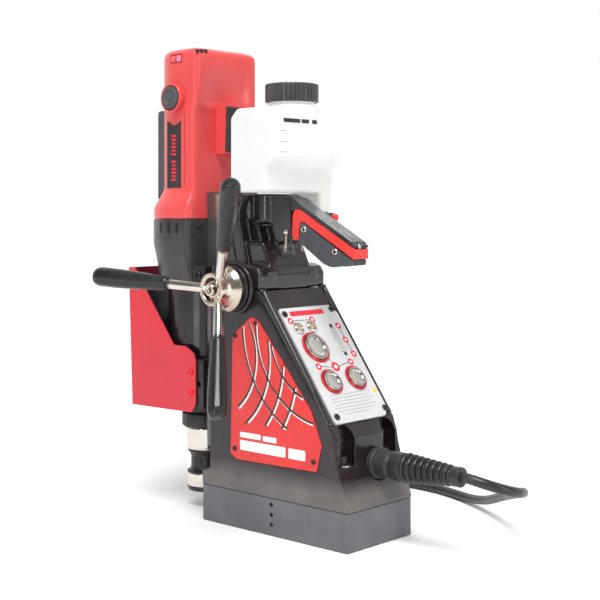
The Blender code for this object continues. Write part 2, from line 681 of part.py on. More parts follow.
def guard():
    """A bent sheet: a front wall and two cut-away sides."""
    side = [(-187, 222.5), (-179, 222.5), (-123.5, 153.2), (-107.2, 153.2), (-96.5, 147.5), (-94, 141.7),
            (-94, 102), (-99.2, 94), (-181.7, 92.8)]
    radii = [0, 0, 3, 4, 4, 4, 4, 4, 0]
    shell = plate("guard", rounded(side, radii, 3), -42.5, 42.5, "guard_red")
    inside = [(-186.2, 240), (-60, 240), (-60, 60), (-178.9, 60)]
    cut(shell, plate("guard_inside", inside, -41, 41))


# ---------------------------------------------------------------- upper housing, handle and tank

def upper_housing():
    hood = box("upper_housing", (-HALF_X, CASTING_FRONT, CASTING_TOP + GAP), (HALF_X, -13, 229), "black_casting")
    for edge_x in (-1, 1):
        corner = [(edge_x * 60, 229 + 20), (edge_x * 60, 215), (edge_x * (HALF_X + 0.5), 215),
                  (edge_x * (HALF_X - 8), 229.5), (edge_x * (HALF_X - 8), 249)]
        trim = plate("hood_trim", corner, 0, 100, plane="XY")
        trim.matrix_world = Matrix.Rotation(math.radians(90), 4, "X") @ Matrix.Translation((0, 0, -0.01))
        cut(hood, trim)
    front = [(CASTING_FRONT, 220), (-42, 220), (-43.3, 231), (-45.3, 238), (-49.2, 255.6), (-52, 268), (-51.8, 276),
             (-50, 284), (-49, 288), (-49, 291.5), (CASTING_FRONT, 291.5)]
    saddle = [(CASTING_FRONT + 5, 218), (-14, 218), (-17, 229), (-22, 240), (-27, 250), (CASTING_FRONT + 5, 250)]
    web = [(-60, 225), (-24, 225), (-24, 244), (WEB_REAR_Y, 249.5), (WEB_REAR_Y, 288.6), (-16, 291), (-60, 291)]
    join(hood, plate("hood_front", front, -29.4, 29.4), plate("hood_saddle", saddle, -26, 26),
         plate("hood_web", web, -HANDLE_HALF_X, HANDLE_HALF_X),
         rod("hood_column", (0, FEED_Y, 264), (0, FEED_Y, 291.2), 14.5, sides=40))
    feed_cuts(hood)


def handle():
    front = WEB_REAR_Y + GAP
    core = [(front, 249.8), (front, 288.4), (-2, 287.6), (12.3, 279.7), (34, 266.2), (44, 260.9), (60.7, 249.9),
            (64, 246.5), (64.6, 240), (63.6, 234.5), (62.9, 230.4), (40.6, 228.4), (36.4, 228.7), (29.3, 231.2),
            (14.9, 240.4), (2.9, 248.3)]
    grip = plate("handle_core", core, -6.5, 6.5, "black_casting")
    band = [(front, 279), (front, 288.4), (-2, 287.6), (12.3, 279.7), (34, 266.2), (44, 260.9), (60.7, 249.9),
            (64, 246.5), (64.4, 243.5), (43.6, 259.2), (22, 270.6), (2, 279)]
    join(grip, plate("handle_band", band, -HANDLE_HALF_X, HANDLE_HALF_X))
    panel = [(front + 0.6, 251), (front + 0.6, 276), (1.5, 277.8), (21.8, 269.7), (43.2, 258.4), (63.9, 242.6),
             (63.1, 234.6), (62.4, 230.8), (40.6, 228.9), (36.6, 229.2), (29.6, 231.6), (15.2, 240.8), (3.1, 248.8),
             (-0.4, 250.4)]
    for side, name in ((1, "right"), (-1, "left")):
        low, high = sorted((side * (6.5 + GAP), side * HANDLE_HALF_X))
        plate("handle_panel_" + name, panel, low, high, "grey_plastic")


def tank():
    outer = [(-48, 291.5 + GAP), (-5, 291.5 + GAP), (-5, 311), (7, 323), (7, 354), (0, 365.5), (-40, 365.5),
             (-48, 357.5)]
    inner = [(-45.6, 294.2), (-7.4, 294.2), (-7.4, 312), (4.6, 324), (4.6, 353.4), (-1, 363.1), (-39, 363.1),
             (-45.6, 356.5)]
    shell = plate("tank", outer, -45, 45, "tank_plastic")
    join(shell, box("tank_leg", (-45 + 0.01, -42 + 0.01, 262), (-27, -5 - 0.01, 300)),
         rod("tank_neck", (0, -15, 361), (0, -15, 384.7), 20.0, sides=32))
    room = plate("tank_room", inner, -42.6, 42.6)
    join(room, box("tank_leg_room", (-42.59, -39.59, 264.4), (-29.4, -7.41, 310)))
    cut(shell, apply(room), rod("tank_mouth", (0, -15, 355), (0, -15, 390), 17.0, sides=32))
    turned("tank_cap", [(0, 388), (22.6, 388), (23.7, 387), (23.7, 371.2), (20.6, 371.2), (20.6, 385), (0, 385)],
           (0, -15, 0), (0, 0, 1), "black_plastic", 40)
    tap = rod("tap_body", (-33, -5 + GAP, 270), (-33, 4, 270), 4.5, "black_plastic", sides=20)
    join(tap, rod("tap_spout", (-33, 0, 270), (-33, 0, 256), 3.0, sides=16))
    knob = rod("tap_knob", (-33, 4 + GAP, 270), (-33, 9, 270), 5.0, "red_plastic", sides=20)
    join(knob, box("tap_lever", (-34.5, 5, 270), (-31.5, 8, 280)))


# ---------------------------------------------------------------- mains lead

ROUTE = [(-8, 167, 65), (-12.5, 178.5, 62), (-23, 188.5, 57.5), (-38, 192.5, 53), (-58, 186, 48.5), (-78, 172, 43),
         (-100, 151, 35), (-124, 123, 24.5), (-147, 92, 12.5), (-166, 60, 5.6), (-178, 30, 4.3), (-184.5, 0, 4.3),
         (-184.5, -35, 4.3), (-180.3, -80, 4.3)]


def smooth_route(points, spacing):
    """Points along a natural cubic spline through the route, an equal distance apart."""
    given = [Vector(p) for p in points]
    count = len(given)
    steps = [(b - a).length ** 0.5 for a, b in zip(given, given[1:])]
    # Second derivatives, by elimination down the tridiagonal system
    slope, value = [0.0] * count, [Vector((0, 0, 0)) for _ in given]
    for i in range(1, count - 1):
        h0, h1 = steps[i - 1], steps[i]
        scale = 2 * (h0 + h1) - h0 * slope[i - 1]
        slope[i] = h1 / scale
        turn = 6 * ((given[i + 1] - given[i]) / h1 - (given[i] - given[i - 1]) / h0)
        value[i] = (turn - h0 * value[i - 1]) / scale
    bend = [Vector((0, 0, 0)) for _ in given]
    for i in range(count - 2, 0, -1):
        bend[i] = value[i] - slope[i] * bend[i + 1]
    dense = []
    for i, h in enumerate(steps):
        for k in range(24):
            b = h * k / 24
            a = h - b
            dense.append(bend[i] * a ** 3 / (6 * h) + bend[i + 1] * b ** 3 / (6 * h)
                         + (given[i] / h - bend[i] * h / 6) * a + (given[i + 1] / h - bend[i + 1] * h / 6) * b)
    dense.append(given[-1])
    length = sum((b - a).length for a, b in zip(dense, dense[1:]))
    pieces = round(length / spacing)
    made, walked, at = [dense[0]], 0.0, 1
    for a, b in zip(dense, dense[1:]):
        span = (b - a).length
        while at < pieces and walked + span >= at * length / pieces:
            made.append(a.lerp(b, (at * length / pieces - walked) / span))
            at += 1
        walked += span
    return made + [dense[-1]]


def mains_lead():
    turned("cable_gland", [(8, 94), (9.5, 94), (10.2, 92), (10.2, 80), (13.5, 78.5), (13.5, REAR_Y + 2 * GAP),
                           (8.5, REAR_Y + 2 * GAP), (8.5, 50), (5, 50), (5, 80), (8, 82)], (-8, 0, 65), (0, 1, 0),
           "black_plastic", 32)
    exit_x, exit_y, exit_z = CORD_EXIT
    turned("strain_relief", [(0, exit_y - GAP), (8.2, exit_y - GAP), (8.2, 153), (8.8, 151), (13.0, 98),
                             (12.0, 94 + GAP), (0, 94 + GAP)], (exit_x, 0, exit_z), (0, 1, 0), "cord_rubber", 28)
    lead = bpy.data.curves.new("mains_cable", "CURVE")
    lead.dimensions = "3D"
    lead.bevel_depth = CORD_D / 2 * MM
    lead.bevel_resolution = 2
    lead.use_fill_caps = True
    points = [Vector(CORD_EXIT)] + smooth_route(ROUTE, 2.2 * CORD_D)
    spline = lead.splines.new("POLY")
    spline.points.add(len(points) - 1)
    for point, place in zip(spline.points, points):
        point.co = (*(place * MM), 1)
    obj = bpy.data.objects.new("mains_cable", lead)
    PARTS.objects.link(obj)
    lead.materials.append(material("cord_rubber", *LOOKS["cord_rubber"]))
    half = COIL_ROWS * CORD_D / 2
    top = COIL_LAYERS * CORD_D
    low, high = COIL_MEAN_R - half, COIL_MEAN_R + half
    x, y = COIL_CENTRE
    turned("cable_coil", [(low + 2, top), (high - 2, top), (high, top - 2), (high, 2), (high - 2, 0.1),
                          (low + 2, 0.1), (low, 2), (low, top - 2)], (x, y, 0), (0, 0, 1), "cord_rubber", 40)
    plug_x, plug_z = PLUG_AXIS
    plug = turned("plug", [(0, 30), (16, 30), (18, 28), (18, -2), (12, -16), (7, -20), (6, -37), (0, -37)],
                  (plug_x, -18, plug_z), (0, 1, 0), "black_plastic", 32)
    for side in (-1, 1):
        pin_x = plug_x + side * 9.5
        join(plug, rod("plug_pin", (pin_x, 10, plug_z), (pin_x, 31, plug_z), 2.4, sides=12))


def main():
    global PARTS, CUTTERS
    clear_scene()
    PARTS = collection(NAME)
    CUTTERS = collection("cutters", hidden=True)
    magnet_base()
    magnet_bolts()
    main_casting()
    side_plates()
    control_panel()
    guides()
    carriage()
    capstan()
    gearbox()
    motor()
    gears()
    guard()
    upper_housing()
    handle()
    tank()
    mains_lead()


main()
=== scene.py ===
import math

import bmesh
import bpy
from mathutils import Matrix, Vector


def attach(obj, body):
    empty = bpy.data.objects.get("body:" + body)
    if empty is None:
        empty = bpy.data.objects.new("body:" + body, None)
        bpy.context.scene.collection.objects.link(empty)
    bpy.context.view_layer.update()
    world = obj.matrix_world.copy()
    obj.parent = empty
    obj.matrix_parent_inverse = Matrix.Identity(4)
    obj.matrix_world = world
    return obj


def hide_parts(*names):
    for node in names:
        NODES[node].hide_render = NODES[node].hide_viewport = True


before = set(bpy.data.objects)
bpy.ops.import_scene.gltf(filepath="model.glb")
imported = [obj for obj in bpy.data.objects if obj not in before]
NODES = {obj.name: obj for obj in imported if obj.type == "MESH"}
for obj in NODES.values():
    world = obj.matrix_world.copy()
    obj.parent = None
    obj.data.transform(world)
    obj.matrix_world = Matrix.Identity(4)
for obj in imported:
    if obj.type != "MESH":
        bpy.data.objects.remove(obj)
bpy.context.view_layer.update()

# The magnetic drill press's looks. Lengths are in millimetres and MM turns them into metres. The spindle is
# towards -Y, the control panel towards +Y and the feed capstan towards +X, as in the frame.

MM = 0.001
SIDES = ((1, "right"), (-1, "left"))
VIEW = (-0.7373, -0.6756, 0)      # where the camera looks

# Seats: the body that a piece rides on, and the name of a material slot
CASTING = ("frame", "black_casting")
PANEL = ("frame", "white_panel")
HANDLE = ("frame", "grey_plastic")
PLASTIC = ("frame", "black_plastic")
PLATE = ("frame", "red_plate")
BOLTED = ("frame", "black_oxide")
LAMP = ("frame", "steel")
CORD = ("frame", "cord_rubber")
TANK = ("frame", "tank_plastic")
LENS = ("frame", "clear_lens")
BEZEL = ("frame", "red_plastic")
MOTOR = ("carriage", "red_plastic")
GEARBOX = ("carriage", "gearbox_paint")
CAPSTAN = ("capstan", "chrome")
SPINDLE = ("spindle", "steel")
TAP = ("tap_knob", "red_plastic")


def into_scene(name, data):
    obj = bpy.data.objects.new(name, data)
    bpy.context.scene.collection.objects.link(obj)
    return obj


# ---------------------------------------------------------------- camera

def camera():
    data = bpy.data.cameras.new("camera")
    data.lens = 75
    data.sensor_width = 36
    data.shift_y = -0.1533
    obj = into_scene("camera", data)
    obj.location = (0.80876, 0.73581, 0.27859)
    obj.rotation_euler = Vector(VIEW).to_track_quat("-Z", "Y").to_euler()
    bpy.context.scene.camera = obj


# ---------------------------------------------------------------- materials

def srgb(r, g, b):
    """A colour from 0..255 display values, in linear light."""
    return tuple((v / 255 / 12.92) if v / 255 <= 0.04045 else ((v / 255 + 0.055) / 1.055) ** 2.4
        for v in (r, g, b))


class Graph:
    """A short way to wire a material's nodes."""

    def __init__(self, name):
        self.material = bpy.data.materials.new(name)
        self.material.use_nodes = True
        self.tree = self.material.node_tree
        self.shader = self.tree.nodes["Principled BSDF"]
        self.coord = self.tree.nodes.new("ShaderNodeTexCoord").outputs["Object"]

    def set(self, **values):
        for key, value in values.items():
            self.shader.inputs[key.replace("_", " ")].default_value = value

    def node(self, kind, inputs=None, **settings):
        made = self.tree.nodes.new("ShaderNode" + kind)
        for key, value in settings.items():
            setattr(made, key, value)
        for key, value in (inputs or {}).items():
            if isinstance(value, bpy.types.NodeSocket):
                self.tree.links.new(value, made.inputs[key])
            else:
                made.inputs[key].default_value = value
        return made

    def noise(self, scale, detail=3, stretch=(1, 1, 1)):
        mapped = self.node("Mapping", {"Vector": self.coord, "Scale": stretch}).outputs[0]
        return self.node("TexNoise", {"Vector": mapped, "Scale": scale, "Detail": detail}).outputs["Fac"]

    def span(self, value, low, high, to_low=0, to_high=1):
        return self.node("MapRange", {"Value": value, "From Min": low, "From Max": high, "To Min": to_low,
            "To Max": to_high}).outputs[0]

    def math(self, operation, a, b=0):
        return self.node("Math", {0: a, 1: b}, operation=operation).outputs[0]

    def cloud(self, scale, detail, to_low=0, to_high=1, stretch=(1, 1, 1)):
        """A noise, spread over most of its own range."""
        return self.span(self.noise(scale, detail, stretch), 0.3, 0.7, to_low, to_high)

    def times(self, a, b, c):
        return self.math("MULTIPLY", self.math("MULTIPLY", a, b), c)

    def mix(self, factor, a, b):
        made = self.node("Mix", {"Factor": factor}, data_type="RGBA")
        for key, value in (("A", a), ("B", b)):
            socket = [s for s in made.inputs if s.name == key and s.type == "RGBA"][0]
            if isinstance(value, bpy.types.NodeSocket):
                self.tree.links.new(value, socket)
            else:
                socket.default_value = (*value, 1)
        return [s for s in made.outputs if s.type == "RGBA"][0]

    def link(self, value, key):
        self.tree.links.new(value, self.shader.inputs[key])

    def bump(self, height, strength, distance, normal=None):
        inputs = {"Height": height, "Strength": strength, "Distance": distance}
        if normal is not None:
            inputs["Normal"] = normal
        return self.node("Bump", inputs).outputs[0]

    def edges(self, radius):
        """1 near a sharp edge, 0 on a flat face, and the rounded normal it comes from."""
        rounded = self.node("Bevel", {"Radius": radius * MM}, samples=6).outputs[0]
        flat = self.node("NewGeometry").outputs["True Normal"]
        dot = self.node("VectorMath", {0: rounded, 1: flat}, operation="DOT_PRODUCT").outputs["Value"]
        return self.span(self.math("SUBTRACT", 1, dot), 0.02, 0.25), rounded


def surface(name, colour, second, rough, metal=0, patch=25, grain=700, bump=0.1, depth=0.0002, spread=0.12,
            stretch=(1, 1, 1), worn=None, wear=0.5, round_mm=0, coat=0, ior=1.45, scratches=0):
    """A finish with uneven colour and gloss, a fine grain, and rubbed edges where worn is a colour.

    Colours are display values. patch and grain are noise scales, round_mm is the radius that its edges show.
    """
    g = Graph(name)
    colour, second = srgb(*colour), srgb(*second)
    g.set(Metallic=metal, Coat_Weight=coat, Coat_Roughness=0.08, IOR=ior)
    tone = g.mix(g.cloud(patch, 5), colour, second)
    fine = g.noise(grain, 2, stretch)
    tone = g.mix(g.span(fine, 0.35, 0.75, 0, 0.35), tone, second)
    rough_map = g.cloud(patch * 2.7, 6, rough - spread, rough + spread, stretch)
    normal = None
    if round_mm:
        mask, normal = g.edges(round_mm)
        if worn:
            rubbed = g.span(g.noise(160, 4), 0.52 - 0.2 * wear, 0.62)
            mask = g.times(mask, rubbed, wear)
            tone = g.mix(mask, tone, srgb(*worn))
    if scratches:
        lines = g.noise(220, 2, (0.06, 1, 1))
        rough_map = g.math("ADD", rough_map, g.span(lines, 0.55, 0.75, 0, scratches))
    g.link(tone, "Base Color")
    g.link(g.node("Clamp", {"Value": rough_map, "Min": 0.04, "Max": 0.95}).outputs[0], "Roughness")
    if bump:
        normal = g.bump(fine, bump, depth, normal)
    if normal is not None:
        g.link(normal, "Normal")
    return g.material


PAINT_ENDS = (0.042, 0.058)      # heights between which the casting's paint fades, in metres


def casting_finish():
    """Gloss black paint that turns to a bare satin grey on the foot."""
    g = Graph("casting_paint")
    g.set(Coat_Roughness=0.06, IOR=1.5)
    black = g.mix(g.cloud(18, 5), srgb(22, 20, 22), srgb(46, 35, 38))
    satin = g.mix(g.cloud(45, 6), srgb(108, 104, 101), srgb(92, 90, 89))
    height = g.node("SeparateXYZ", {"Vector": g.coord}).outputs["Z"]
    wavy = g.math("ADD", height, g.cloud(30, 3, -0.0015, 0.0015))
    foot = g.span(wavy, *PAINT_ENDS, 1, 0)
    mask, rounded = g.edges(1.2)
    tone = g.mix(foot, black, satin)
    rubbed = g.span(g.noise(140, 4), 0.45, 0.65)
    tone = g.mix(g.times(mask, rubbed, 0.35), tone, srgb(150, 148, 150))
    g.link(tone, "Base Color")
    base = g.cloud(60, 5, 0.16, 0.28)
    g.link(g.math("ADD", base, g.math("MULTIPLY", foot, 0.25)), "Roughness")
    g.link(g.bump(g.noise(260, 2), 0.10, 0.0002, rounded), "Normal")
    return g.material


# The guard's front wall leans: its height and place at the top, and its lean, in metres
GUARD_TOP, GUARD_FRONT, GUARD_LEAN = 0.2225, 0.18625, 0.04086
# Painted shade inside the guard: the half width that it fills, and the height above which it is dark red, in
# metres
GUARD_SHADE_HALF, GUARD_SHADE_BAND = 0.0415, 0.209


def guard_finish():
    """Crimson enamel outside. Inside it is painted shade: near black, and a dark red painted shade along the top
    of the front wall.
    """
    g = Graph("guard_enamel")
    g.set(IOR=1.5, Coat_Weight=0.3, Coat_Roughness=0.15)
    parts = g.node("SeparateXYZ", {"Vector": g.coord})
    x, y, z = (parts.outputs[k] for k in "XYZ")
    over = g.math("SUBTRACT", z, GUARD_TOP)
    front = g.math("ADD", g.math("ADD", y, GUARD_FRONT), g.math("MULTIPLY", over, GUARD_LEAN))
    behind = g.math("GREATER_THAN", front, 0)
    between = g.math("LESS_THAN", g.math("ABSOLUTE", x), GUARD_SHADE_HALF)
    inside = g.math("MULTIPLY", behind, between)
    red = g.mix(g.cloud(14, 5), srgb(214, 16, 44), srgb(204, 12, 38))
    # Painted shade inside the guard: near black, and dark red along the top of the front wall's inner side
    painted_shade = g.mix(g.cloud(40, 5), srgb(34, 33, 35), srgb(52, 49, 51))
    band = g.math("GREATER_THAN", z, GUARD_SHADE_BAND)
    painted_shade = g.mix(band, painted_shade, srgb(112, 10, 24))
    mask, rounded = g.edges(0.5)
    tone = g.mix(inside, red, painted_shade)
    rubbed = g.span(g.noise(150, 4), 0.5, 0.6)
    tone = g.mix(g.times(mask, rubbed, 0.25), tone, srgb(250, 130, 140))
    g.link(tone, "Base Color")
    g.link(g.cloud(50, 6, 0.3, 0.45), "Roughness")
    g.link(g.bump(g.noise(420, 2), 0.06, 0.0002, rounded), "Normal")
    return g.material


def ground_finish(name, colour, second, rough):
    """Ground or turned steel, with fine upright lines."""
    g = Graph(name)
    colour, second = srgb(*colour), srgb(*second)
    g.set(Metallic=1)
    stretch = (1, 1, 0.03)
    lines = g.noise(900, 2, stretch)
    tone = g.mix(g.span(lines, 0.3, 0.7), colour, second)
    tone = g.mix(g.span(g.noise(30, 5), 0.5, 0.8, 0, 0.4), tone, second)
    g.link(tone, "Base Color")
    g.link(g.cloud(300, 3, rough - 0.08, rough + 0.1, stretch), "Roughness")
    g.link(g.bump(lines, 0.15, 0.0001), "Normal")
    return g.material


def tank_finish():
    g = Graph("tank_polyethylene")
    # The faint white emission is painted light: a glow that lifts the tank's shaded lower part
    g.set(Roughness=0.38, IOR=1.5, Subsurface_Weight=0.35, Subsurface_Scale=0.02, Emission_Strength=0.24)
    g.shader.inputs["Emission Color"].default_value = (1, 1, 0.98, 1)
    g.shader.inputs["Subsurface Radius"].default_value = (1, 0.95, 0.9)
    g.link(g.mix(g.cloud(16, 5), srgb(206, 207, 205), srgb(197, 198, 196)), "Base Color")
    g.link(g.cloud(70, 4, 0.32, 0.45), "Roughness")
    g.link(g.bump(g.noise(120, 3), 0.08, 0.0004), "Normal")
    return g.material


# Printed colours, their uneven second tone, and roughness
PRINTS = {
    "black": ((34, 32, 34), (48, 46, 48), 0.35),
    "white": ((248, 246, 246), (238, 232, 232), 0.35),
    "red": ((232, 40, 62), (220, 30, 52), 0.35),
    "grey": ((176, 178, 180), (160, 162, 166), 0.4),
    "yellow": ((226, 220, 40), (210, 200, 30), 0.4),
}


def dressings():
    """All the finishes, by name."""
    prints = {f"print_{word}": surface(f"print_{word}", *look, 0, 60, 700, 0.03) for word, look in PRINTS.items()}
    return prints | {
        "casting": casting_finish(),
        "guard": guard_finish(),
        "tank": tank_finish(),
        "magnet": surface("magnet_steel", (112, 111, 117), (98, 97, 102), 0.42, 0.25, 30, 500, 0.12,
            worn=(160, 160, 165), wear=0.4, round_mm=0.7, scratches=0.1),
        "hood": surface("hood_paint", (22, 20, 22), (46, 38, 41), 0.2, 0, 16, 230, 0.12, 0.0003, 0.07, coat=0.4,
            ior=1.5),
        "potting": surface("coil_potting", (30, 29, 31), (44, 42, 45), 0.5, bump=0.2, round_mm=0.4),
        "red_plate": surface("plate_red", (224, 22, 14), (212, 18, 12), 0.3, 0, 20, 600, 0.04, coat=0.5,
            round_mm=0.3, worn=(250, 160, 150), wear=0.2),
        "white_plate": surface("plate_white", (212, 210, 211), (200, 199, 200), 0.32, 0, 22, 600, 0.04,
            coat=0.3, round_mm=0.3),
        "motor": surface("motor_red", (226, 84, 82), (216, 72, 72), 0.36, 0, 14, 520, 0.12, 0.00025, 0.06,
            coat=0.15),
        "motor_shade": surface("motor_red_shade", (170, 30, 36), (150, 24, 32), 0.4, 0, 14, 520, 0.12),
        "rose": surface("window_rose", (238, 104, 110), (228, 92, 98), 0.25, 0, 30, 500, 0.05),
        "cap": surface("cap_black", (46, 46, 48), (72, 72, 74), 0.4, 0, 40, 600, 0.15),
        # Painted shade: a near black for the dark inside of vent slots and screw holes
        "painted_hole_shade": surface("painted_hole_shade", (10, 10, 11), (18, 17, 18), 0.7, 0, 60, 600, 0.1),
        "pink": surface("window_pink", (250, 150, 175), (240, 120, 150), 0.25, 0, 30, 500, 0.05),
        "gearbox": surface("gearbox_paint", (74, 70, 72), (54, 51, 53), 0.34, 0.1, 35, 430, 0.35, 0.0004,
            worn=(130, 128, 130), wear=0.4, round_mm=0.8),
        "grey": surface("grey_plastic", (84, 86, 90), (66, 68, 72), 0.55, 0, 60, 900, 0.45, 0.0004,
            round_mm=0.6, worn=(120, 120, 124), wear=0.3),
        "black": surface("black_plastic", (30, 29, 31), (50, 47, 50), 0.25, 0, 30, 500, 0.06, spread=0.06,
            coat=0.2),
        "grip": surface("grip_black", (26, 26, 27), (42, 43, 42), 0.24, 0, 26, 420, 0.1, spread=0.08),
        "matt_black": surface("matt_black", (40, 40, 42), (58, 57, 60), 0.55, 0, 40, 600, 0.25),
        "rubber": surface("rubber_black", (34, 34, 34), (50, 50, 50), 0.32, 0, 40, 700, 0.12, spread=0.08),
        "stripe": surface("stripe_red", (230, 58, 52), (220, 48, 46), 0.32, 0, 24, 500, 0.08, coat=0.2),
        "bezel": surface("bezel_red", (200, 22, 34), (180, 16, 28), 0.25, 0.2, 40, 500, 0.05, coat=0.4),
        "steel": ground_finish("ground_steel", (196, 194, 190), (168, 166, 164), 0.26),
        "slide": surface("slide_grey", (120, 118, 116), (104, 102, 102), 0.4, 0.7, 30, 500, 0.1,
            stretch=(1, 1, 0.05), round_mm=0.5, worn=(190, 188, 185), wear=0.5),
        "chrome": surface("chrome", (222, 218, 210), (206, 200, 190), 0.1, 1, 40, 700, 0.02, spread=0.04),
        "hub": surface("hub_nickel", (214, 202, 188), (194, 178, 164), 0.19, 1, 45, 700, 0.03, spread=0.06),
        "oxide": surface("black_oxide", (44, 42, 44), (66, 62, 64), 0.35, 0.6, 50, 600, 0.15, round_mm=0.4,
            worn=(150, 148, 150), wear=0.5),
        "bronze": surface("sintered_bronze", (176, 128, 78), (150, 104, 62), 0.4, 1, 60, 700, 0.2),
        "copper": surface("enamelled_copper", (170, 92, 56), (130, 68, 42), 0.35, 0.8, 60, 500, 0.3,
            stretch=(1, 1, 0.05)),
        "board": surface("circuit_board", (30, 96, 58), (22, 78, 46), 0.4, 0, 90, 400, 0.1),
        "lens": surface("milky_lens", (205, 212, 196), (190, 198, 184), 0.2, 0, 60, 600, 0.03, coat=0.5),
        "amber": surface("amber_lens", (196, 186, 150), (150, 132, 100), 0.15, 0.3, 120, 600, 0.03, coat=0.6),
    }


FINISH = dressings()


# ---------------------------------------------------------------- shapes

def seat_piece(obj, finish, seat, replaces):
    """Gives a piece its finish and its body, and hides the CAD nodes that it stands for."""
    obj.data.materials.append(FINISH[finish])
    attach(obj, seat[0])
    if replaces:
        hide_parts(*replaces)
    return obj


def settle(name, bm, finish, seat, replaces=(), crease=35, weighted=False):
    """Turns a bmesh into a piece: shaded, dressed, riding on its body."""
    bmesh.ops.recalc_face_normals(bm, faces=bm.faces[:])
    mesh = bpy.data.meshes.new(name)
    bm.to_mesh(mesh)
    bm.free()
    obj = into_scene(name, mesh)
    mesh.shade_smooth()
    mesh.set_sharp_from_angle(angle=math.radians(crease))
    if weighted:
        obj.modifiers.new("weighted", "WEIGHTED_NORMAL").keep_sharp = True
    return seat_piece(obj, finish, seat, replaces)


def soften(points, radius, steps=3, closed=False):
    """Rounds the corners of a 2D line, less where its segments are short."""
    made = []
    count = len(points)
    for i, corner in enumerate(points):
        if not closed and i in (0, count - 1):
            made.append(tuple(corner))
            continue
        here = Vector(corner)
        before, after = Vector(points[i - 1]) - here, Vector(points[(i + 1) % count]) - here
        if before.length < 1e-6 or after.length < 1e-6:
            made.append(tuple(corner))
            continue
        half = before.angle(after) / 2
        if half > math.radians(86):
            made.append(tuple(corner))
            continue
        reach = min(radius / math.tan(half), before.length * 0.45, after.length * 0.45)
        start, end = here + before.normalized() * reach, here + after.normalized() * reach
        for k in range(steps + 1):
            t = k / steps
            made.append(tuple(start * (1 - t) ** 2 + here * 2 * t * (1 - t) + end * t ** 2))
    return made


def rounded(outline, radius, steps=4):
    return soften(outline, radius, steps, True)


def rect(left, low, right, high, radius=0, steps=3):
    """A rectangle's outline, with rounded corners where it has a radius."""
    corners = [(left, low), (right, low), (right, high), (left, high)]
    return rounded(corners, radius, steps) if radius else corners


def ease(value, low, high):
    """0 below low, 1 above high, and a smooth change between."""
    t = min(max((value - low) / (high - low), 0), 1)
    return t * t * (3 - 2 * t)


def turn_to(axis):
    return Vector((0, 0, 1)).rotation_difference(Vector(axis).normalized()).to_matrix().to_4x4()


def lathe(name, profile, place, finish, seat, replaces=(), steps=72, corner=0.4, wave=None, closed=False):
    """A turned piece. place is a matrix, or an origin and an axis. wave(angle, r, h) may change a radius."""
    if not isinstance(place, Matrix):
        origin, axis = place
        place = Matrix.Translation(Vector(origin) * MM) @ turn_to(axis)
    points = soften(profile, corner, 3, closed) if corner else profile
    bm = bmesh.new()
    rings = []
    for r, h in points:
        if r < 1e-6:
            rings.append([bm.verts.new(place @ Vector((0, 0, h * MM)))])
            continue
        ring = []
        for k in range(steps):
            t = 2 * math.pi * k / steps
            rr = wave(t, r, h) if wave else r
            ring.append(bm.verts.new(place @ (Vector((rr * math.cos(t), rr * math.sin(t), h)) * MM)))
        rings.append(ring)
    pairs = list(zip(rings, rings[1:]))
    if closed:
        pairs.append((rings[-1], rings[0]))
    for a, b in pairs:
        for k in range(steps):
            j = (k + 1) % steps
            if len(a) == 1 and len(b) == 1:
                continue
            if len(a) == 1:
                bm.faces.new((a[0], b[k], b[j]))
            elif len(b) == 1:
                bm.faces.new((a[k], b[0], a[j]))
            else:
                bm.faces.new((a[k], b[k], b[j], a[j]))
    return settle(name, bm, finish, seat, replaces)


def prism_mesh(outline, low, high, plane, bevel, segments):
    """An outline with a thickness and rounded edges. Planes: YZ runs along X, XZ along Y, XY along Z."""
    order = {"YZ": lambda a, b, c: (c, a, b), "XZ": lambda a, b, c: (a, c, b),
        "XY": lambda a, b, c: (a, b, c)}[plane]
    bm = bmesh.new()
    sides = [[bm.verts.new(Vector(order(a, b, c)) * MM) for a, b in outline] for c in (low, high)]
    count = len(outline)
    bm.faces.new(sides[0])
    bm.faces.new(sides[1])
    for i in range(count):
        j = (i + 1) % count
        bm.faces.new((sides[0][i], sides[0][j], sides[1][j], sides[1][i]))
    bmesh.ops.recalc_face_normals(bm, faces=bm.faces[:])
    if bevel:
        sharp = [e for e in bm.edges if e.calc_face_angle(0) > math.radians(30)]
        bmesh.ops.bevel(bm, geom=sharp, offset=bevel * MM, segments=segments, affect="EDGES", profile=0.5,
            clamp_overlap=True)
    return bm


def prism(name, outline, low, high, finish, seat, plane="YZ", bevel=0.4, segments=2, replaces=(), matrix=None):
    bm = prism_mesh(outline, *sorted((low, high)), plane, bevel, segments)
    if matrix is not None:
        bmesh.ops.transform(bm, matrix=matrix, verts=bm.verts[:])
    return settle(name, bm, finish, seat, replaces, 40, True)


def block(name, low, high, finish, seat, bevel=0.6, matrix=None):
    return prism(name, rect(*low[:2], *high[:2]), low[2], high[2], finish, seat, "XY", bevel, matrix=matrix)


def loft(name, rings, finish, seat, replaces):
    bm = bmesh.new()
    loops = [[bm.verts.new(Vector(p) * MM) for p in ring] for ring in rings]
    count = len(loops[0])
    for a, b in zip(loops, loops[1:]):
        for i in range(count):
            j = (i + 1) % count
            bm.faces.new((a[i], a[j], b[j], b[i]))
    bm.faces.new(loops[0])
    bm.faces.new(loops[-1])
    return settle(name, bm, finish, seat, replaces)


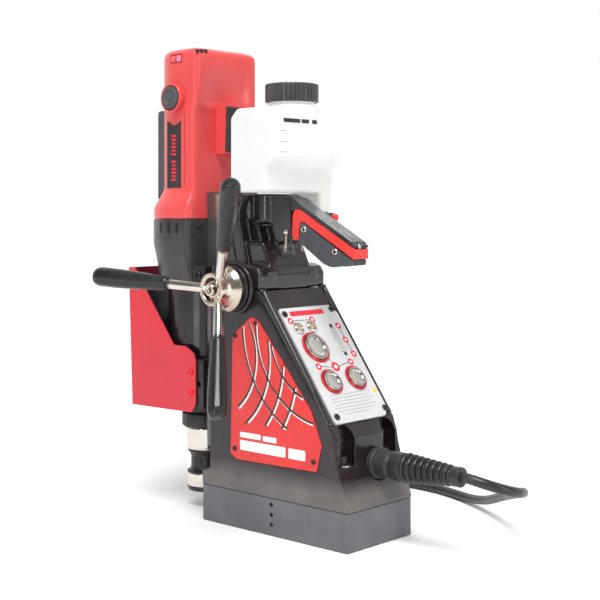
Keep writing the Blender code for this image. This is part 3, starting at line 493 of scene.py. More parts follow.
def tube(name, points, radius, finish, seat, sides=10):
    """A round bar through points, with rounded ends."""
    path = [Vector(p) for p in points]
    frames, normal = [], None
    for i, p in enumerate(path):
        ahead = (path[min(i + 1, len(path) - 1)] - path[max(i - 1, 0)]).normalized()
        if normal is None:
            normal = ahead.orthogonal().normalized()
        normal = (normal - ahead * normal.dot(ahead)).normalized()
        frames.append((p, ahead, normal.copy()))
    # Each ring's shift along the bar and its size, both as shares of the radius, and where it is
    stations = [(-0.9, 0.3, frames[0]), (-0.6, 0.75, frames[0])] + [(0, 1, here) for here in frames]
    stations += [(0.6, 0.75, frames[-1]), (0.9, 0.3, frames[-1])]
    bm = bmesh.new()
    rings = []
    for shift, share, (p, ahead, n) in stations:
        side = ahead.cross(n)
        middle = p + ahead * radius * shift
        ring = []
        for k in range(sides):
            t = 2 * math.pi * k / sides
            offset = (n * math.cos(t) + side * math.sin(t)) * radius * share
            ring.append(bm.verts.new((middle + offset) * MM))
        rings.append(ring)
    for a, b in zip(rings, rings[1:]):
        for k in range(sides):
            j = (k + 1) % sides
            bm.faces.new((a[k], a[j], b[j], b[k]))
    bm.faces.new(rings[0])
    bm.faces.new(rings[-1])
    return settle(name, bm, finish, seat, crease=50)


def cast_solid(name, parts, voxel, smooth, finish, seat, replaces=()):
    """Several meshes fused into one cast shape with soft fillets."""
    bm = bmesh.new()
    for part in parts:
        mesh = bpy.data.meshes.new("part")
        part.to_mesh(mesh)
        part.free()
        bm.from_mesh(mesh)
        bpy.data.meshes.remove(mesh)
    mesh = bpy.data.meshes.new(name)
    bm.to_mesh(mesh)
    bm.free()
    obj = into_scene(name, mesh)
    remesh = obj.modifiers.new("remesh", "REMESH")
    remesh.mode = "VOXEL"
    remesh.voxel_size = voxel * MM
    remesh.use_smooth_shade = True
    soft = obj.modifiers.new("smooth", "SMOOTH")
    soft.factor = 0.5
    soft.iterations = smooth
    evaluated = obj.evaluated_get(bpy.context.evaluated_depsgraph_get())
    made = bpy.data.meshes.new_from_object(evaluated)
    obj.modifiers.clear()
    obj.data = made
    bpy.data.meshes.remove(mesh)
    made.shade_smooth()
    made.materials.clear()
    return seat_piece(obj, finish, seat, replaces)


def screw(name, matrix, radius, height, finish, seat):
    """A screw head with a hexagon socket, standing on a face: matrix's Z is the face's normal."""
    dip = radius * 0.5
    profile = [(0, height * 0.3), (dip, height * 0.3), (dip * 1.1, height * 0.95), (radius * 0.8, height),
        (radius, height * 0.6), (radius, -0.4), (0, -0.4)]
    return lathe(name, profile, matrix, finish, seat, steps=36, corner=0.15,
        wave=lambda t, r, h: r * (0.92 + 0.08 * math.cos(6 * t)) if r < dip * 1.05 else r)


def dress(finish, *nodes):
    """Gives CAD nodes that stay visible a finish."""
    for node in nodes:
        for material_slot in NODES[node].material_slots:
            material_slot.material = FINISH[finish]


def facing(point, axis):
    """The place of a turned piece or a screw that stands on a face."""
    return Matrix.Translation(Vector(point) * MM) @ turn_to(axis)


# ---------------------------------------------------------------- mains lead

CORD_D = 8.4
ROUTE = [(-8, 167, 65), (-12.5, 178.5, 62), (-23, 188.5, 57.5), (-38, 192.5, 53), (-58, 186, 48.5),
    (-78, 172, 43), (-100, 151, 35), (-124, 123, 24.5), (-147, 92, 12.5), (-166, 60, 5.6), (-178, 30, 4.3),
    (-184.5, 0, 4.3), (-184.5, -35, 4.3), (-180.3, -80, 4.3)]
COIL_CENTRE = (-118, -88)
COIL_RADII = (53.4, 45)       # outer and inner turns
COIL_LEAD_IN = 62.5           # where the lead reaches the coil
COIL_STEP = 0.3               # the share of a turn in which it changes place
COIL_START = math.radians(172.6)
COIL_LAYERS = 4
TURN_POINTS = 20


def smooth_route(points, spacing):
    """Points along a natural cubic spline through the route, an equal distance apart."""
    given = [Vector(p) for p in points]
    count = len(given)
    steps = [(b - a).length ** 0.5 for a, b in zip(given, given[1:])]
    slope, value = [0] * count, [Vector((0, 0, 0)) for _ in given]
    for i in range(1, count - 1):
        h0, h1 = steps[i - 1], steps[i]
        scale = 2 * (h0 + h1) - h0 * slope[i - 1]
        slope[i] = h1 / scale
        turn = 6 * ((given[i + 1] - given[i]) / h1 - (given[i] - given[i - 1]) / h0)
        value[i] = (turn - h0 * value[i - 1]) / scale
    bend = [Vector((0, 0, 0)) for _ in given]
    for i in range(count - 2, 0, -1):
        bend[i] = value[i] - slope[i] * bend[i + 1]
    dense = []
    for i, h in enumerate(steps):
        for k in range(24):
            b = h * k / 24
            a = h - b
            dense.append(bend[i] * a ** 3 / (6 * h) + bend[i + 1] * b ** 3 / (6 * h)
                + (given[i] / h - bend[i] * h / 6) * a + (given[i + 1] / h - bend[i + 1] * h / 6) * b)
    dense.append(given[-1])
    length = sum((b - a).length for a, b in zip(dense, dense[1:]))
    pieces = round(length / spacing)
    made, walked, at = [dense[0]], 0, 1
    for a, b in zip(dense, dense[1:]):
        span = (b - a).length
        while at < pieces and walked + span >= at * length / pieces:
            made.append(a.lerp(b, (at * length / pieces - walked) / span))
            at += 1
        walked += span
    return made + [dense[-1]]


def coil_points():
    """Turns beside and on each other: a layer from the outer turn in, the next from the inner turn out."""
    x, y = COIL_CENTRE
    outer, inner = COIL_RADII
    order = []
    for layer in range(COIL_LAYERS):
        z = CORD_D / 2 + 0.1 + layer * CORD_D
        order += [(outer, z), (inner, z)] if layer % 2 == 0 else [(inner, z), (outer, z)]
    points = []
    total = len(order) * TURN_POINTS
    for k in range(2, total):
        turn, share = divmod(k / TURN_POINTS, 1)
        here = order[min(int(turn), len(order) - 1)]
        before = order[max(int(turn) - 1, 0)] if turn else (COIL_LEAD_IN, CORD_D / 2 + 0.1)
        change = ease(share, 0, COIL_STEP)
        r = before[0] + (here[0] - before[0]) * change
        z = before[1] + (here[1] - before[1]) * change
        angle = COIL_START + 2 * math.pi * k / TURN_POINTS
        points.append(Vector((x + r * math.cos(angle), y + r * math.sin(angle), z)))
    return points


def mains_lead():
    x, y = COIL_CENTRE
    route = [Vector((-8, 162.3, 65))] + smooth_route(ROUTE, 15)
    coil = coil_points()
    # The last turn ends on the coil's right, heading for the plug
    last = coil[-1].z
    while math.atan2(coil[-1].y - y, coil[-1].x - x) > -0.15 and len(coil) > 40:
        coil.pop()
    while not -0.6 < math.atan2(coil[-1].y - y, coil[-1].x - x) < -0.1:
        coil.pop()
    out = x + COIL_RADII[0]
    tail = [Vector((out, y + 6, last)), Vector((out, y + 18, last - 3.5)), Vector((out, y + 30, 20.4)),
        Vector((out, y + 38, 18.3))]
    data = bpy.data.curves.new("mains_lead", "CURVE")
    data.dimensions = "3D"
    data.bevel_depth = CORD_D / 2 * MM
    data.bevel_resolution = 5
    data.use_fill_caps = True
    data.resolution_u = 4
    points = route + coil + tail
    spline = data.splines.new("BEZIER")
    spline.bezier_points.add(len(points) - 1)
    for knot, place in zip(spline.bezier_points, points):
        knot.co = place * MM
        knot.handle_left_type = knot.handle_right_type = "AUTO"
    lead = into_scene("mains_lead", data)
    seat_piece(lead, "rubber", CORD, ["mains_cable", "cable_coil"])
    length = sum((b - a).length for a, b in zip(points, points[1:])) * MM
    return lead, length


def lead_fittings():
    origin, axis = (-8, 0, 65), (0, 1, 0)
    lathe("cable_gland_nut", [(8.6, 73.6), (13.5, 73.6), (13.5, 78.3), (12.6, 79.4), (10.4, 79.8), (10.4, 82),
        (11.6, 82.6), (11.6, 90.4), (10.6, 91.6), (9.6, 94), (8.4, 94), (8.4, 73.6)], (origin, axis),
        "matt_black", PLASTIC, ["cable_gland"], 72, wave=lambda t, r, h: r * (1 + 0.03 * math.cos(6 * t))
        if 82.4 < h < 91 and r > 11 else r)
    profile = [(0, 94.3), (8, 94.3), (11.6, 94.8), (12.2, 96), (12, 104.6), (11, 105.4)]
    ribs, start, end = 8, 107, 153.5
    pitch = (end - start) / ribs
    for k in range(ribs):
        h = start + k * pitch
        outer = 12.6 - (12.6 - 8.5) * (k / ribs)
        inner = outer - 3.4 + 0.12 * k
        profile += [(inner, h), (outer - 0.5, h + pitch * 0.12), (outer, h + pitch * 0.3),
            (outer - 0.5, h + pitch * 0.48), (inner, h + pitch * 0.6)]
    profile += [(5.8, 153.2), (8.1, 153.8), (8.1, 161.2), (7.2, 162), (0, 162)]
    relief = lathe("strain_relief_boot", profile, (origin, axis), "rubber", CORD, ["strain_relief"], 64, 0.5)
    x, y = COIL_CENTRE
    plug_x, plug_z = x + COIL_RADII[0], 18.1
    body = [(0, 30), (15.4, 30), (17.4, 28.4), (18, 26), (18, 4), (17, -1), (12.5, -13), (8.6, -19.5),
        (7.2, -22), (7.2, -26), (6.2, -27), (6.2, -30.4), (7, -31.2), (7, -34), (6, -35), (6, -41.5),
        (0, -41.5)]
    plug = lathe("mains_plug", body, ((plug_x, -18, plug_z), axis), "matt_black", CORD, ["plug"], 64, 0.8,
        wave=lambda t, r, h: r * (1 - 0.06 * (1 + math.cos(24 * t)) / 2) if 4 < h < 26 and r > 17 else r)
    for side in (-1, 1):
        pin = lathe(f"plug_pin_{'right' if side > 0 else 'left'}", [(0, 49), (1.5, 49), (2.4, 47.6), (2.4, 30),
            (0, 30)], ((plug_x + side * 9.5, -18, plug_z), axis), "chrome", CORD, steps=24)
    tie_angle = math.radians(60)
    loop = rounded([(40.2, 17), (40.2, 0.9), (58.2, 0.9), (58.2, 34.3), (40.2, 34.3)], 4)
    tie = [(x + math.cos(tie_angle) * r, y + math.sin(tie_angle) * r, z) for r, z in loop]
    tube("cable_tie", tie + [tie[0]], 0.8, "black", CORD, 8)


# ---------------------------------------------------------------- base and casting

def base():
    dress("magnet", "magnet_housing")
    dress("potting", "magnet_coil")
    dress("oxide", "magnet_bolt_left", "magnet_bolt_right")
    dress("casting", "main_casting")
    for side, word in SIDES:
        slope = [(side * 38.9, -9.2 + 72 * t, 202.2 - 100.4 * t) for t in (0, 0.25, 0.5, 0.75, 1)]
        tube("panel_rim_" + word, [(side * 38.9, -11.4, 205.4)] + slope, 2.9, "hood", CASTING, 20)
        screw("rim_end_" + word, facing((side * 38.9, -13.5, 207.2), (0, 0.3, 1)), 3.6, 2.2, "oxide", CASTING)
        if side > 0:
            for k, x in enumerate((27, -27)):
                lathe(f"magnet_washer_{k + 1}", [(5.4, 0.2), (8.2, 0.2), (8.2, 1.5), (5.4, 1.5)],
                    ((x, 66, 66.2), (0, 0, 1)), "steel", BOLTED, steps=32, closed=True, corner=0.2)


PLATE_FACE = 42.4      # how far out the side plates reach
PLATE_SCREWS = [(-18.3, 179.6), (-43.4, 167.2), (-43.6, 68.9), (48.6, 69.4)]


def in_plate(y, z):
    """How far a point is inside the side plate's outline."""
    corners = [(-23.5, 184.6), (-46.3, 167.5), (-48.8, 63.9), (-41.3, 59.6), (52.1, 61.5), (57.6, 83.7),
        (46.6, 110.3), (19.5, 142.6), (-15.7, 182.4)]
    best = 1e9
    for (ay, az), (by, bz) in zip(corners, corners[1:] + corners[:1]):
        length = math.hypot(by - ay, bz - az)
        best = min(best, ((by - ay) * (z - az) - (bz - az) * (y - ay)) / length)
    return best


def ribbon(name, points, thick, finish, side):
    """A flat printed line on a side plate, clipped to the plate."""
    bm = bmesh.new()
    run = []

    def close(run):
        if len(run) < 2:
            return
        rows = []
        for i, (y, z) in enumerate(run):
            ay, az = run[max(i - 1, 0)]
            by, bz = run[min(i + 1, len(run) - 1)]
            along = Vector((by - ay, bz - az)).normalized()
            ny, nz = -along.y * ARC_WIDTH / 2, along.x * ARC_WIDTH / 2
            row = []
            for s in (-1, 1):
                for h in (0, thick):
                    row.append(bm.verts.new(Vector((side * (PLATE_FACE + h), y + s * ny, z + s * nz)) * MM))
            rows.append(row)
        for a, b in zip(rows, rows[1:]):
            for i, j in ((0, 1), (1, 3), (3, 2), (2, 0)):
                bm.faces.new((a[i], a[j], b[j], b[i]))
        for row in (rows[0], rows[-1]):
            bm.faces.new((row[0], row[1], row[3], row[2]))

    for y, z in points:
        if in_plate(y, z) > ARC_WIDTH * 0.6 and z > ARC_FLOOR:
            run.append((y, z))
        else:
            close(run)
            run = []
    close(run)
    return settle(name, bm, finish, PLATE, crease=60)


def side_plates():
    dress("red_plate", "side_plate_right", "side_plate_left")
    for side, word in SIDES:
        for k, (y, z) in enumerate(PLATE_SCREWS):
            screw(f"plate_screw_{word}_{k + 1}", facing((side * PLATE_FACE, y, z), (side, 0, 0)), 2.2, 1.2,
                "oxide", PLATE)
        # A plain pattern of sweeping arcs, and two blank bars
        for k, (cy, cz, r, low, high) in enumerate(ARCS):
            turns = [math.radians(low + (high - low) * i / ARC_STEPS) for i in range(ARC_STEPS + 1)]
            arc = [(cy + r * math.cos(t), cz + r * math.sin(t)) for t in turns]
            under = [(y + 1.3, z - 1.5) for y, z in arc]
            ribbon(f"arc_light_{word}_{k + 1}", under, 0.08, "print_white", side)
            ribbon(f"arc_dark_{word}_{k + 1}", arc, 0.14, "print_black", side)
        bars = [(-37, 79.6, 25, 4.6), (-9.5, 79.2, 16, 4.6), (-37, 68.6, 54, 8.6), (20.5, 68.6, 19, 8.6)]
        for k, (y, z, long, tall) in enumerate(bars):
            outline = rect(y, z, y + long, z + tall, 1.2, 4)
            prism(f"plate_bar_{word}_{k + 1}", outline, side * PLATE_FACE, side * 42.52, "print_white", PLATE,
                bevel=0)


ARC_WIDTH, ARC_STEPS, ARC_FLOOR = 1.7, 60, 92
# Each arc's centre, radius, and first and last angle
ARCS = [(-74, 150, 56, -52, 46), (-74, 150, 72, -55, 40), (-74, 150, 88, -58, 18), (-74, 150, 104, -48, 3),
    (60, 178, 62, 172, 262), (60, 178, 78, 166, 262), (60, 178, 94, 168, 262)]


# ---------------------------------------------------------------- control panel

PANEL_TOP, PANEL_FOOT = (-12, 207.3), (65.2, 99.7)      # Y and Z of the panel's two ends


def panel_frame():
    """The panel's own frame: X to the reader's right, Y up its slope and Z out of it."""
    up = -Vector((0, PANEL_FOOT[0] - PANEL_TOP[0], PANEL_FOOT[1] - PANEL_TOP[1])).normalized()
    right = Vector((-1, 0, 0))
    matrix = Matrix((right, up, right.cross(up))).transposed().to_4x4()
    matrix.translation = Vector((0, *PANEL_TOP)) * MM
    return matrix


BUTTONS = {"magnet": (-13.4, -60.5, 12.4), "start": (-14.9, -93.8, 9.4), "stop": (16.7, -93.6, 9.4)}
LAMPS = {"power": (-22.3, -40.7), "ready": (-6, -40.2)}
ICONS = [(28.5, -41.9, 3.2), (28.8, -56.4, 3.2), (29.8, -70.8, 3.2), (20.7, -78, 3.2), (-21.3, -78.5, 3.2),
    (-0.9, -80.7, 4.6), (-27.4, -32.7, 3.2), (-0.3, -33.3, 3.2)]
LINKS = [((-24.2, -32.7), (-3.5, -33.3)), ((-2.6, -35.7), (-8.6, -48.6)), ((-18.1, -78.5), (-5.5, -80.7)),
    ((3.7, -80.7), (17.5, -78)), ((-4.6, -71.5), (-2.6, -76.6)), ((28.5, -45.1), (28.8, -53.2)), ((28.8, -59.6),
    (29.5, -67.6))]
CORNER_SCREWS = [(-30.7, -25.9), (30.5, -24.7), (-29.9, -125.8), (33.4, -125.4)]


def control_panel():
    frame_matrix = panel_frame()

    def at(x, y, z=0):
        return frame_matrix @ Matrix.Translation(Vector((x, y, z)) * MM)

    def disc(name, x, y, r, low, high, finish, steps):
        profile = [(0, high), (r, high), (r, low), (0, low)]
        lathe(name, profile, at(x, y), finish, PANEL, steps=steps, corner=0)

    dress("white_plate", "control_panel")
    dress("board", "control_board")
    top = 2.3      # the panel's face
    for k, (x, y) in enumerate(CORNER_SCREWS):
        screw(f"panel_screw_{k + 1}", at(x, y, top), 2.9, 1.5, "oxide", PANEL)
    for name, (x, y, r) in BUTTONS.items():
        lathe("bezel_ring_" + name, [(r + 0.3, 3.8), (r + 1, 4), (r + 2.1, 3.5), (r + 2.6, 2.4),
            (r + 0.3, 2.4)], at(x, y), "bezel", BEZEL, ["bezel_" + name], 72, 0.4, closed=True)
        cap = [(0, 4.1), (r * 0.3, 4.15), (r * 0.62, 4.3), (r * 0.68, 4.8), (r * 0.8, 5.3), (r - 0.8, 5.2),
            (r - 0.1, 4.4), (r - 0.1, -6), (0, -6)]
        seat = ("button_" + name, "steel")
        lathe("button_cap_" + name, cap, at(x, y), "chrome", seat, ["button_" + name], 72, 0.5)
        lathe("button_ring_" + name, [(r * 0.68, 4.4), (r * 0.74, 5.15), (r * 0.86, 5.5), (r - 0.4, 5.2),
            (r - 0.3, 4.3)], at(x, y), "steel", seat, (), 72, 0.3, closed=True)
    for name, (x, y) in LAMPS.items():
        lathe("lamp_rim_" + name, [(3.7, 4.4), (4.6, 4.4), (5.5, 3.4), (5.5, 2.5), (3.7, 2.5)], at(x, y),
            "chrome", LAMP, ["lamp_" + name], 48, 0.3, closed=True)
        lathe("lamp_lens_" + name, [(0, 5), (1.8, 4.7), (3.2, 3.9), (3.6, 3.2), (3.6, 0), (0, 0)], at(x, y),
            "amber", LAMP, (), 36, 0.2)
    prism("load_window", rect(16.7, -67.2, 22.1, -43.8, 1), 0.5, 3, "lens", LENS, "XY", 0.2, 2, ["load_strip"],
        frame_matrix)
    for k in range(6):
        y = -65 + k * 3.9
        block(f"load_mark_{k + 1}", (17.6, y, 2.95), (21.2, y + 2.2, 3.1), "print_grey", LENS, 0,
            matrix=frame_matrix)
    for k, (x, y) in enumerate(((19, -41.1), (19.7, -69.8))):
        lathe(f"strip_dot_{k + 1}", [(0, 3.2), (1.4, 3), (1.9, 2.3), (0, 2.3)], at(x, y), "print_black", PANEL,
            steps=28, corner=0.1)
    for k, (x, y, r) in enumerate(ICONS):
        disc(f"panel_disc_{k + 1}", x, y, r, top - 0.1, top + 0.14, "print_red", 40)
        disc(f"panel_disc_core_{k + 1}", x, y, r * 0.42, top, top + 0.2, "print_white", 28)
    for k, ((ax, ay), (bx, by)) in enumerate(LINKS):
        along = Vector((bx - ax, by - ay))
        n = Vector((-along.y, along.x)).normalized() * 0.28
        outline = [(ax + n.x, ay + n.y), (bx + n.x, by + n.y), (bx - n.x, by - n.y), (ax - n.x, ay - n.y)]
        prism(f"panel_link_{k + 1}", outline, top - 0.1, top + 0.1, "print_black", PANEL, "XY", 0,
            matrix=frame_matrix)
    for k, half in enumerate((26, 25, 27, 24, 26, 25, 16)):
        y, right = -106.5 - 3 * k, half - (4 if k % 2 else 0)
        block(f"panel_rule_{k + 1}", (-half, y - 0.35, top - 0.1), (right, y + 0.35, top + 0.07), "print_grey",
            PANEL, 0, matrix=frame_matrix)
    bar = rect(-24, -28.4, 19, -23.6, 1)
    prism("panel_header", bar, top - 0.1, top + 0.1, "print_red", PANEL, "XY", 0, matrix=frame_matrix)
    disc("panel_dot", 32, -107.5, 2.4, top - 0.1, top + 0.15, "print_yellow", 32)


# ---------------------------------------------------------------- feed

def slides():
    dress("steel", "guide_rail_right", "guide_rail_left", "feed_rack", "feed_pinion")
    dress("slide", "slide_carriage")
    dress("bronze", "feed_bush")
    dress("oxide", "guard_bracket_right", "guard_bracket_left")
    dress("casting", "hub_flange")
    oxide, steel = ("carriage", "black_oxide"), ("carriage", "steel")
    for side, word in SIDES:
        for k, z in enumerate((112, 130)):
            screw(f"guard_screw_{word}_{k + 1}", facing((side * 42.5, -100.5, z), (side, 0, 0)), 2.8, 1.8,
                "print_red", ("guard", "guard_red"))
        outline = rect(-96.6, 210, -81, 227, 1.5)
        prism("gib_block_" + word, outline, side * 25.6, side * 43.5, "oxide", oxide, bevel=0.8)
        screw("gib_screw_" + word, facing((side * 43.5, -88.8, 218.5), (side, 0, 0)), 3.4, 2, "oxide",
            oxide)
        for k in range(5):
            screw(f"slide_screw_{word}_{k + 1}", facing((side * 20, -84.6 - 12.5, 80 + 46 * k), (0, -1, 0)),
                2.4, 1, "oxide", steel)


CAPSTAN_CENTRE = (0, -42.6, 208.7)
ARM_TILT = math.radians(23)
ARM_FIRST = math.radians(-85.2)
ARM_X = 62.6
HUB = [
    ("hub_recess", "oxide", (), 72, 0.1, [(0, 67.2), (9.9, 67.2), (9.9, 66), (0, 66)]),
    ("hub", "hub", ["capstan_hub"], 120, 0.5, [(0, 66.6), (9.6, 66.6), (10.3, 67.4), (10.3, 71.6), (11, 72.4),
        (13.4, 72.5), (14.3, 71.8), (14.4, 66.8), (15.2, 63), (17, 59), (19.3, 56.2), (20.2, 55), (20.2, 54.2),
        (0, 54.2)]),
    ("hub_collar", "oxide", (), 96, 0.4, [(0, 54), (18.6, 54), (19.3, 53.3), (19.3, 48.6), (20.3, 47.8),
        (20.3, 46.7), (0, 46.7)]),
    ("hub_screw", "hub", ["hub_nut"], 72, 0.3, [(0, 70.4), (1.6, 70.6), (1.9, 73.4), (3.2, 74.6), (4.9, 74.6),
        (5.6, 73.8), (5.6, 69.8), (7.6, 69.4), (7.8, 66.9), (0, 66.9)]),
]


def capstan():
    for name, finish, stands_for, steps, corner, profile in HUB:
        lathe(name, profile, (CAPSTAN_CENTRE, (1, 0, 0)), finish, CAPSTAN, stands_for, steps, corner)
    flange = [(8.4, 46.3), (21, 46.3), (22.3, 45.7), (23, 44.6), (23, 42.7), (8.4, 42.7)]
    lathe("flange_face", flange, (CAPSTAN_CENTRE, (1, 0, 0)), "oxide", CASTING, (), 96, 0.6, closed=True)
    centre = Vector((ARM_X, *CAPSTAN_CENTRE[1:]))
    for k in range(3):
        angle = ARM_FIRST + k * 2 * math.pi / 3
        flat = math.cos(ARM_TILT)
        direction = Vector((math.sin(ARM_TILT), flat * math.sin(angle), flat * math.cos(angle)))
        rod = [(0, 9), (4.5, 9), (4.5, 48.6), (0, 48.6)]
        lathe(f"arm_{k + 1}", rod, (centre, direction), "chrome", CAPSTAN, [f"arm_rod_{k + 1}"], 48, 0.2)
        grip = [(0, 120.2), (2.8, 120.4), (5.2, 120.2), (6.6, 119.2), (8.1, 116.4), (8.6, 113), (8.6, 104),
            (8.5, 94), (8, 80), (7.2, 66), (6.5, 56), (6.2, 50.5), (5.7, 48.6), (4.5, 48.4), (4.5, 45), (0, 45)]
        lathe(f"grip_{k + 1}", grip, (centre, direction), "grip", ("capstan", "black_plastic"),
            [f"arm_grip_{k + 1}"], 64, 0.8,
            wave=lambda t, r, h: r * (1 - 0.05 * max(0, math.cos(8 * t))) if 112 < h < 119.8 and r > 5 else r)


# ---------------------------------------------------------------- drill head

SPINDLE_Y = -124
HEAD_POINTS = 144


def head_section(radius, depth, z, power=11, dent=0):
    """A section of the head: a half circle in front and a nearly square back, hollowed about its middle."""
    points = []
    for i in range(HEAD_POINTS):
        t = 2 * math.pi * i / HEAD_POINTS
        c, s = math.cos(t), math.sin(t)
        if s < 0:
            points.append((radius * c, SPINDLE_Y + radius * s, z))
            continue
        x = radius * math.copysign(abs(c) ** (2 / power), c)
        hollow = dent * max(0, 1 - (x / 36) ** 2) ** 1.5
        points.append((x, SPINDLE_Y + depth * s ** (2 / power) - hollow, z))
    return points


def motor():
    flange = 26.7
    shape = [(268.9, 48.9, flange - 0.5), (269.5, 49.5, flange), (274, 49.6, flange), (278, 49.2, flange),
        (281, 48.2, 26.4), (285, 46, 25.8), (290, 43, 25.3), (294, 41, 25), (297, 40.1, 25), (300, 40, 25)]
    shape += [(z, 40, 25 + 3 * ease(z, 364, 374)) for z in range(304, 416, 2)]
    shape += [(418, 39.9, 27.9), (420.3, 39.4, 27.4), (422.2, 38.2, 26.2), (423.8, 36, 24), (424.9, 32, 20.5),
        (425.5, 26, 15), (425.7, 16, 8)]
    rings = [head_section(radius, depth, z, dent=8 * ease(z, 366, 378) * (1 - ease(z, 384, 410)))
        for z, radius, depth in shape]
    loft("motor_shell", rings, "motor", MOTOR, ["motor_housing"])
    for side, word in SIDES:
        place = ((0, SPINDLE_Y, 379.4), (side, 0, 0))
        lathe("brush_boss_" + word, [(0, 40), (9.4, 40), (10.9, 40.6), (11.1, 45.6), (11.8, 46.5), (12.9, 46.3),
            (13.5, 45.2), (13.6, 38), (0, 38)], place, "motor", MOTOR, (), 72, 0.5)
        lathe("brush_disc_" + word, [(0, 46.4), (6.4, 46.6), (7, 47.6), (9.4, 47.9), (10.2, 47.4), (10.5, 46.6),
            (10.5, 41), (0, 41)], place, "grey", ("carriage", "black_plastic"), ["brush_cap_" + word], 64, 0.5)
        # Dark name strip left blank, with a column of plain bars
        top = [(-134.8 + 18.7 * t, 358.6 - 4 * math.sin(math.pi * t)) for t in [i / 10 for i in range(11)]]
        strip = [(-134.8, 297), (-116.1, 297)] + top[::-1]
        prism("label_strip_" + word, strip, side * 39.4, side * 40.25, "print_black", MOTOR, bevel=0)
        for k, reach in enumerate((3.4, 2.6, 3.4, 3, 2.2, 3.4, 0, 3.4, 2.8, 3.4, 2.4, 3.2, 3.4)):
            z = 303.5 + k * 3.35
            if reach:
                outline = rect(-125.6 - reach, z, -125.6 + reach, z + 1.9)
                prism(f"label_bar_{word}_{k + 1}", outline, side * 40, side * 40.4, "print_red", MOTOR, bevel=0)
        # The groove and the window's recessed frame are dark red strips of painted shade
        groove = rect(-111.4, 299, -110.9, 366)
        prism("shell_groove_" + word, groove, side * 38.5, side * 40.12, "motor_shade", MOTOR, bevel=0)
        window = rect(-130.4, 411.6, -114.8, 419.6, 1.2)
        prism("window_frame_" + word, window, side * 39, side * 40.12, "motor_shade", MOTOR, bevel=0)
        for k, y in enumerate((-129.4, -121.9)):
            pane = rect(y, 412.8, y + 6, 418.4, 0.8)
            prism(f"window_pane_{word}_{k + 1}", pane, side * 39, side * 40.3, "pink" if k else "rose", MOTOR,
                bevel=0.1)
    for k in range(3):
        x = 37 - 5 * k
        block(f"vent_mark_{k + 1}", (x - 1.6, -98.6, 419.4), (x + 1.6, -96.3, 422.4 + 0.4 * k), "print_black",
            MOTOR, 0.3)
    switch = soften([(-104, 328.3), (-87.6, 328.3), (-86.2, 373.8), (-104, 373.8)], 1, 3, True)
    prism("switch_housing", switch, -12.2, 12.2, "motor", MOTOR, bevel=0.7, segments=3)
    paddle = soften([(-88, 330.2), (-86.4, 330.2), (-85.2, 336), (-84.7, 366), (-85, 371.2), (-88, 371.2)], 1.2,
        4, True)
    prism("switch_paddle", paddle, -11.4, 11.4, "matt_black", MOTOR, bevel=0.7, segments=3)
    dress("grey", "front_cover")
    for k in range(6):
        z = 300 + 10 * k
        block(f"cover_rib_{k + 1}", (-17, -170.6, z), (17, -169.4, z + 4), "grey", ("carriage", "grey_plastic"),
            0.4)
    dress("copper", "stator", "armature")


def gearbox():
    back = 26.6
    shape = [(206, 41.5, back - 1), (206.6, 42.2, back - 0.4), (208, 43.6, back), (216, 44.8, back),
        (226, 46, back), (233, 47.4, back), (240, 48.9, back), (245, 49.7, back), (250, 50, back),
        (258, 50, back), (266.8, 50, back), (268, 49.7, back - 0.3), (268.5, 49, back - 1)]
    loft("gearbox_shell", [head_section(r, d, z, power=16) for z, r, d in shape], "gearbox", GEARBOX,
        ["gearbox_housing"])
    for side, word in SIDES:
        for k, y in enumerate((-132.7, -121.7, -110.8)):
            reach = math.sqrt(50 ** 2 - (y - SPINDLE_Y) ** 2) if y < SPINDLE_Y else 50
            # The vent slots are thin dark plates of painted shade, standing for the openings' dark inside
            slot = rect(y - 1.7, 255.3, y + 1.7, 265.6, 1.2, 4)
            prism(f"vent_slot_{word}_{k + 1}", slot, side * (reach - 3), side * (reach + 0.08), "painted_hole_shade",
                GEARBOX, bevel=0)
        for k, z in enumerate((213, 262)):
            screw(f"head_screw_{word}_{k + 1}", facing((side * 33, -97.5, z), (0, 1, 0)), 2.6, 1.2, "oxide",
                GEARBOX)
    dress("casting", "spindle_housing")
    dress("steel", "layshaft")
    rings = [(24.6, 91.5), (25.6, 91.5), (26.6, 93.2), (26.6, 95.4), (25.4, 96.6), (24.6, 96.6)]
    lathe("nose_ring", rings, ((0, SPINDLE_Y, 0), (0, 0, 1)), "oxide", ("carriage", "black_casting"), (), 72,
        0.3, closed=True)


ARBOR = [
    ("arbor_collar", "oxide", 0.5, [(9.9, 88.2), (22.2, 88.2), (23.5, 87), (23.5, 76), (21, 74), (9.9, 74)]),
    ("arbor_sleeve", "chrome", 0.4, [(9.9, 73.8), (19.6, 73.8), (19.8, 73), (19.8, 56), (18.6, 53.6),
        (9.9, 53.6)]),
    ("arbor_neck", "oxide", 0.8, [(9.7, 53.4), (17.6, 53.4), (18.4, 52), (16.2, 49.6), (14.9, 47), (14.9, 37),
        (15.6, 34.5), (18.6, 32.6), (18.4, 31.8), (9.7, 31.8)]),
    ("arbor_nose", "chrome", 0.4, [(9.6, 31.6), (18.4, 31.6), (18.8, 30.8), (18.8, 19.5), (9.6, 19.5)]),
    ("arbor_lip", "oxide", 0.4, [(9.55, 19.4), (18.6, 19.4), (18.8, 18.4), (17.2, 14.9), (16.6, 14.7),
        (9.55, 14.7)]),
]


def knurl(t, r, h):
    """Fine grooves round the arbor's collar, which is wider than the rest."""
    return r * (1 - 0.012 * (1 + math.cos(72 * t))) if r > 23 else r


def spindle_parts():
    dress("steel", "spindle")
    origin = ((0, SPINDLE_Y, 0), (0, 0, 1))
    for name, finish, corner, profile in ARBOR:
        lathe(name, profile, origin, finish, SPINDLE, ["arbor"] if name == "arbor_nose" else (), 96, corner,
            knurl, True)
    for k in range(2):
        angle = math.radians(35 + 180 * k)
        direction = (math.cos(angle), math.sin(angle), 0)
        point = Vector((0, SPINDLE_Y, 42)) + Vector(direction) * 14.9
        screw(f"arbor_screw_{k + 1}", facing(point, direction), 4.2, 0.7, "oxide", SPINDLE)


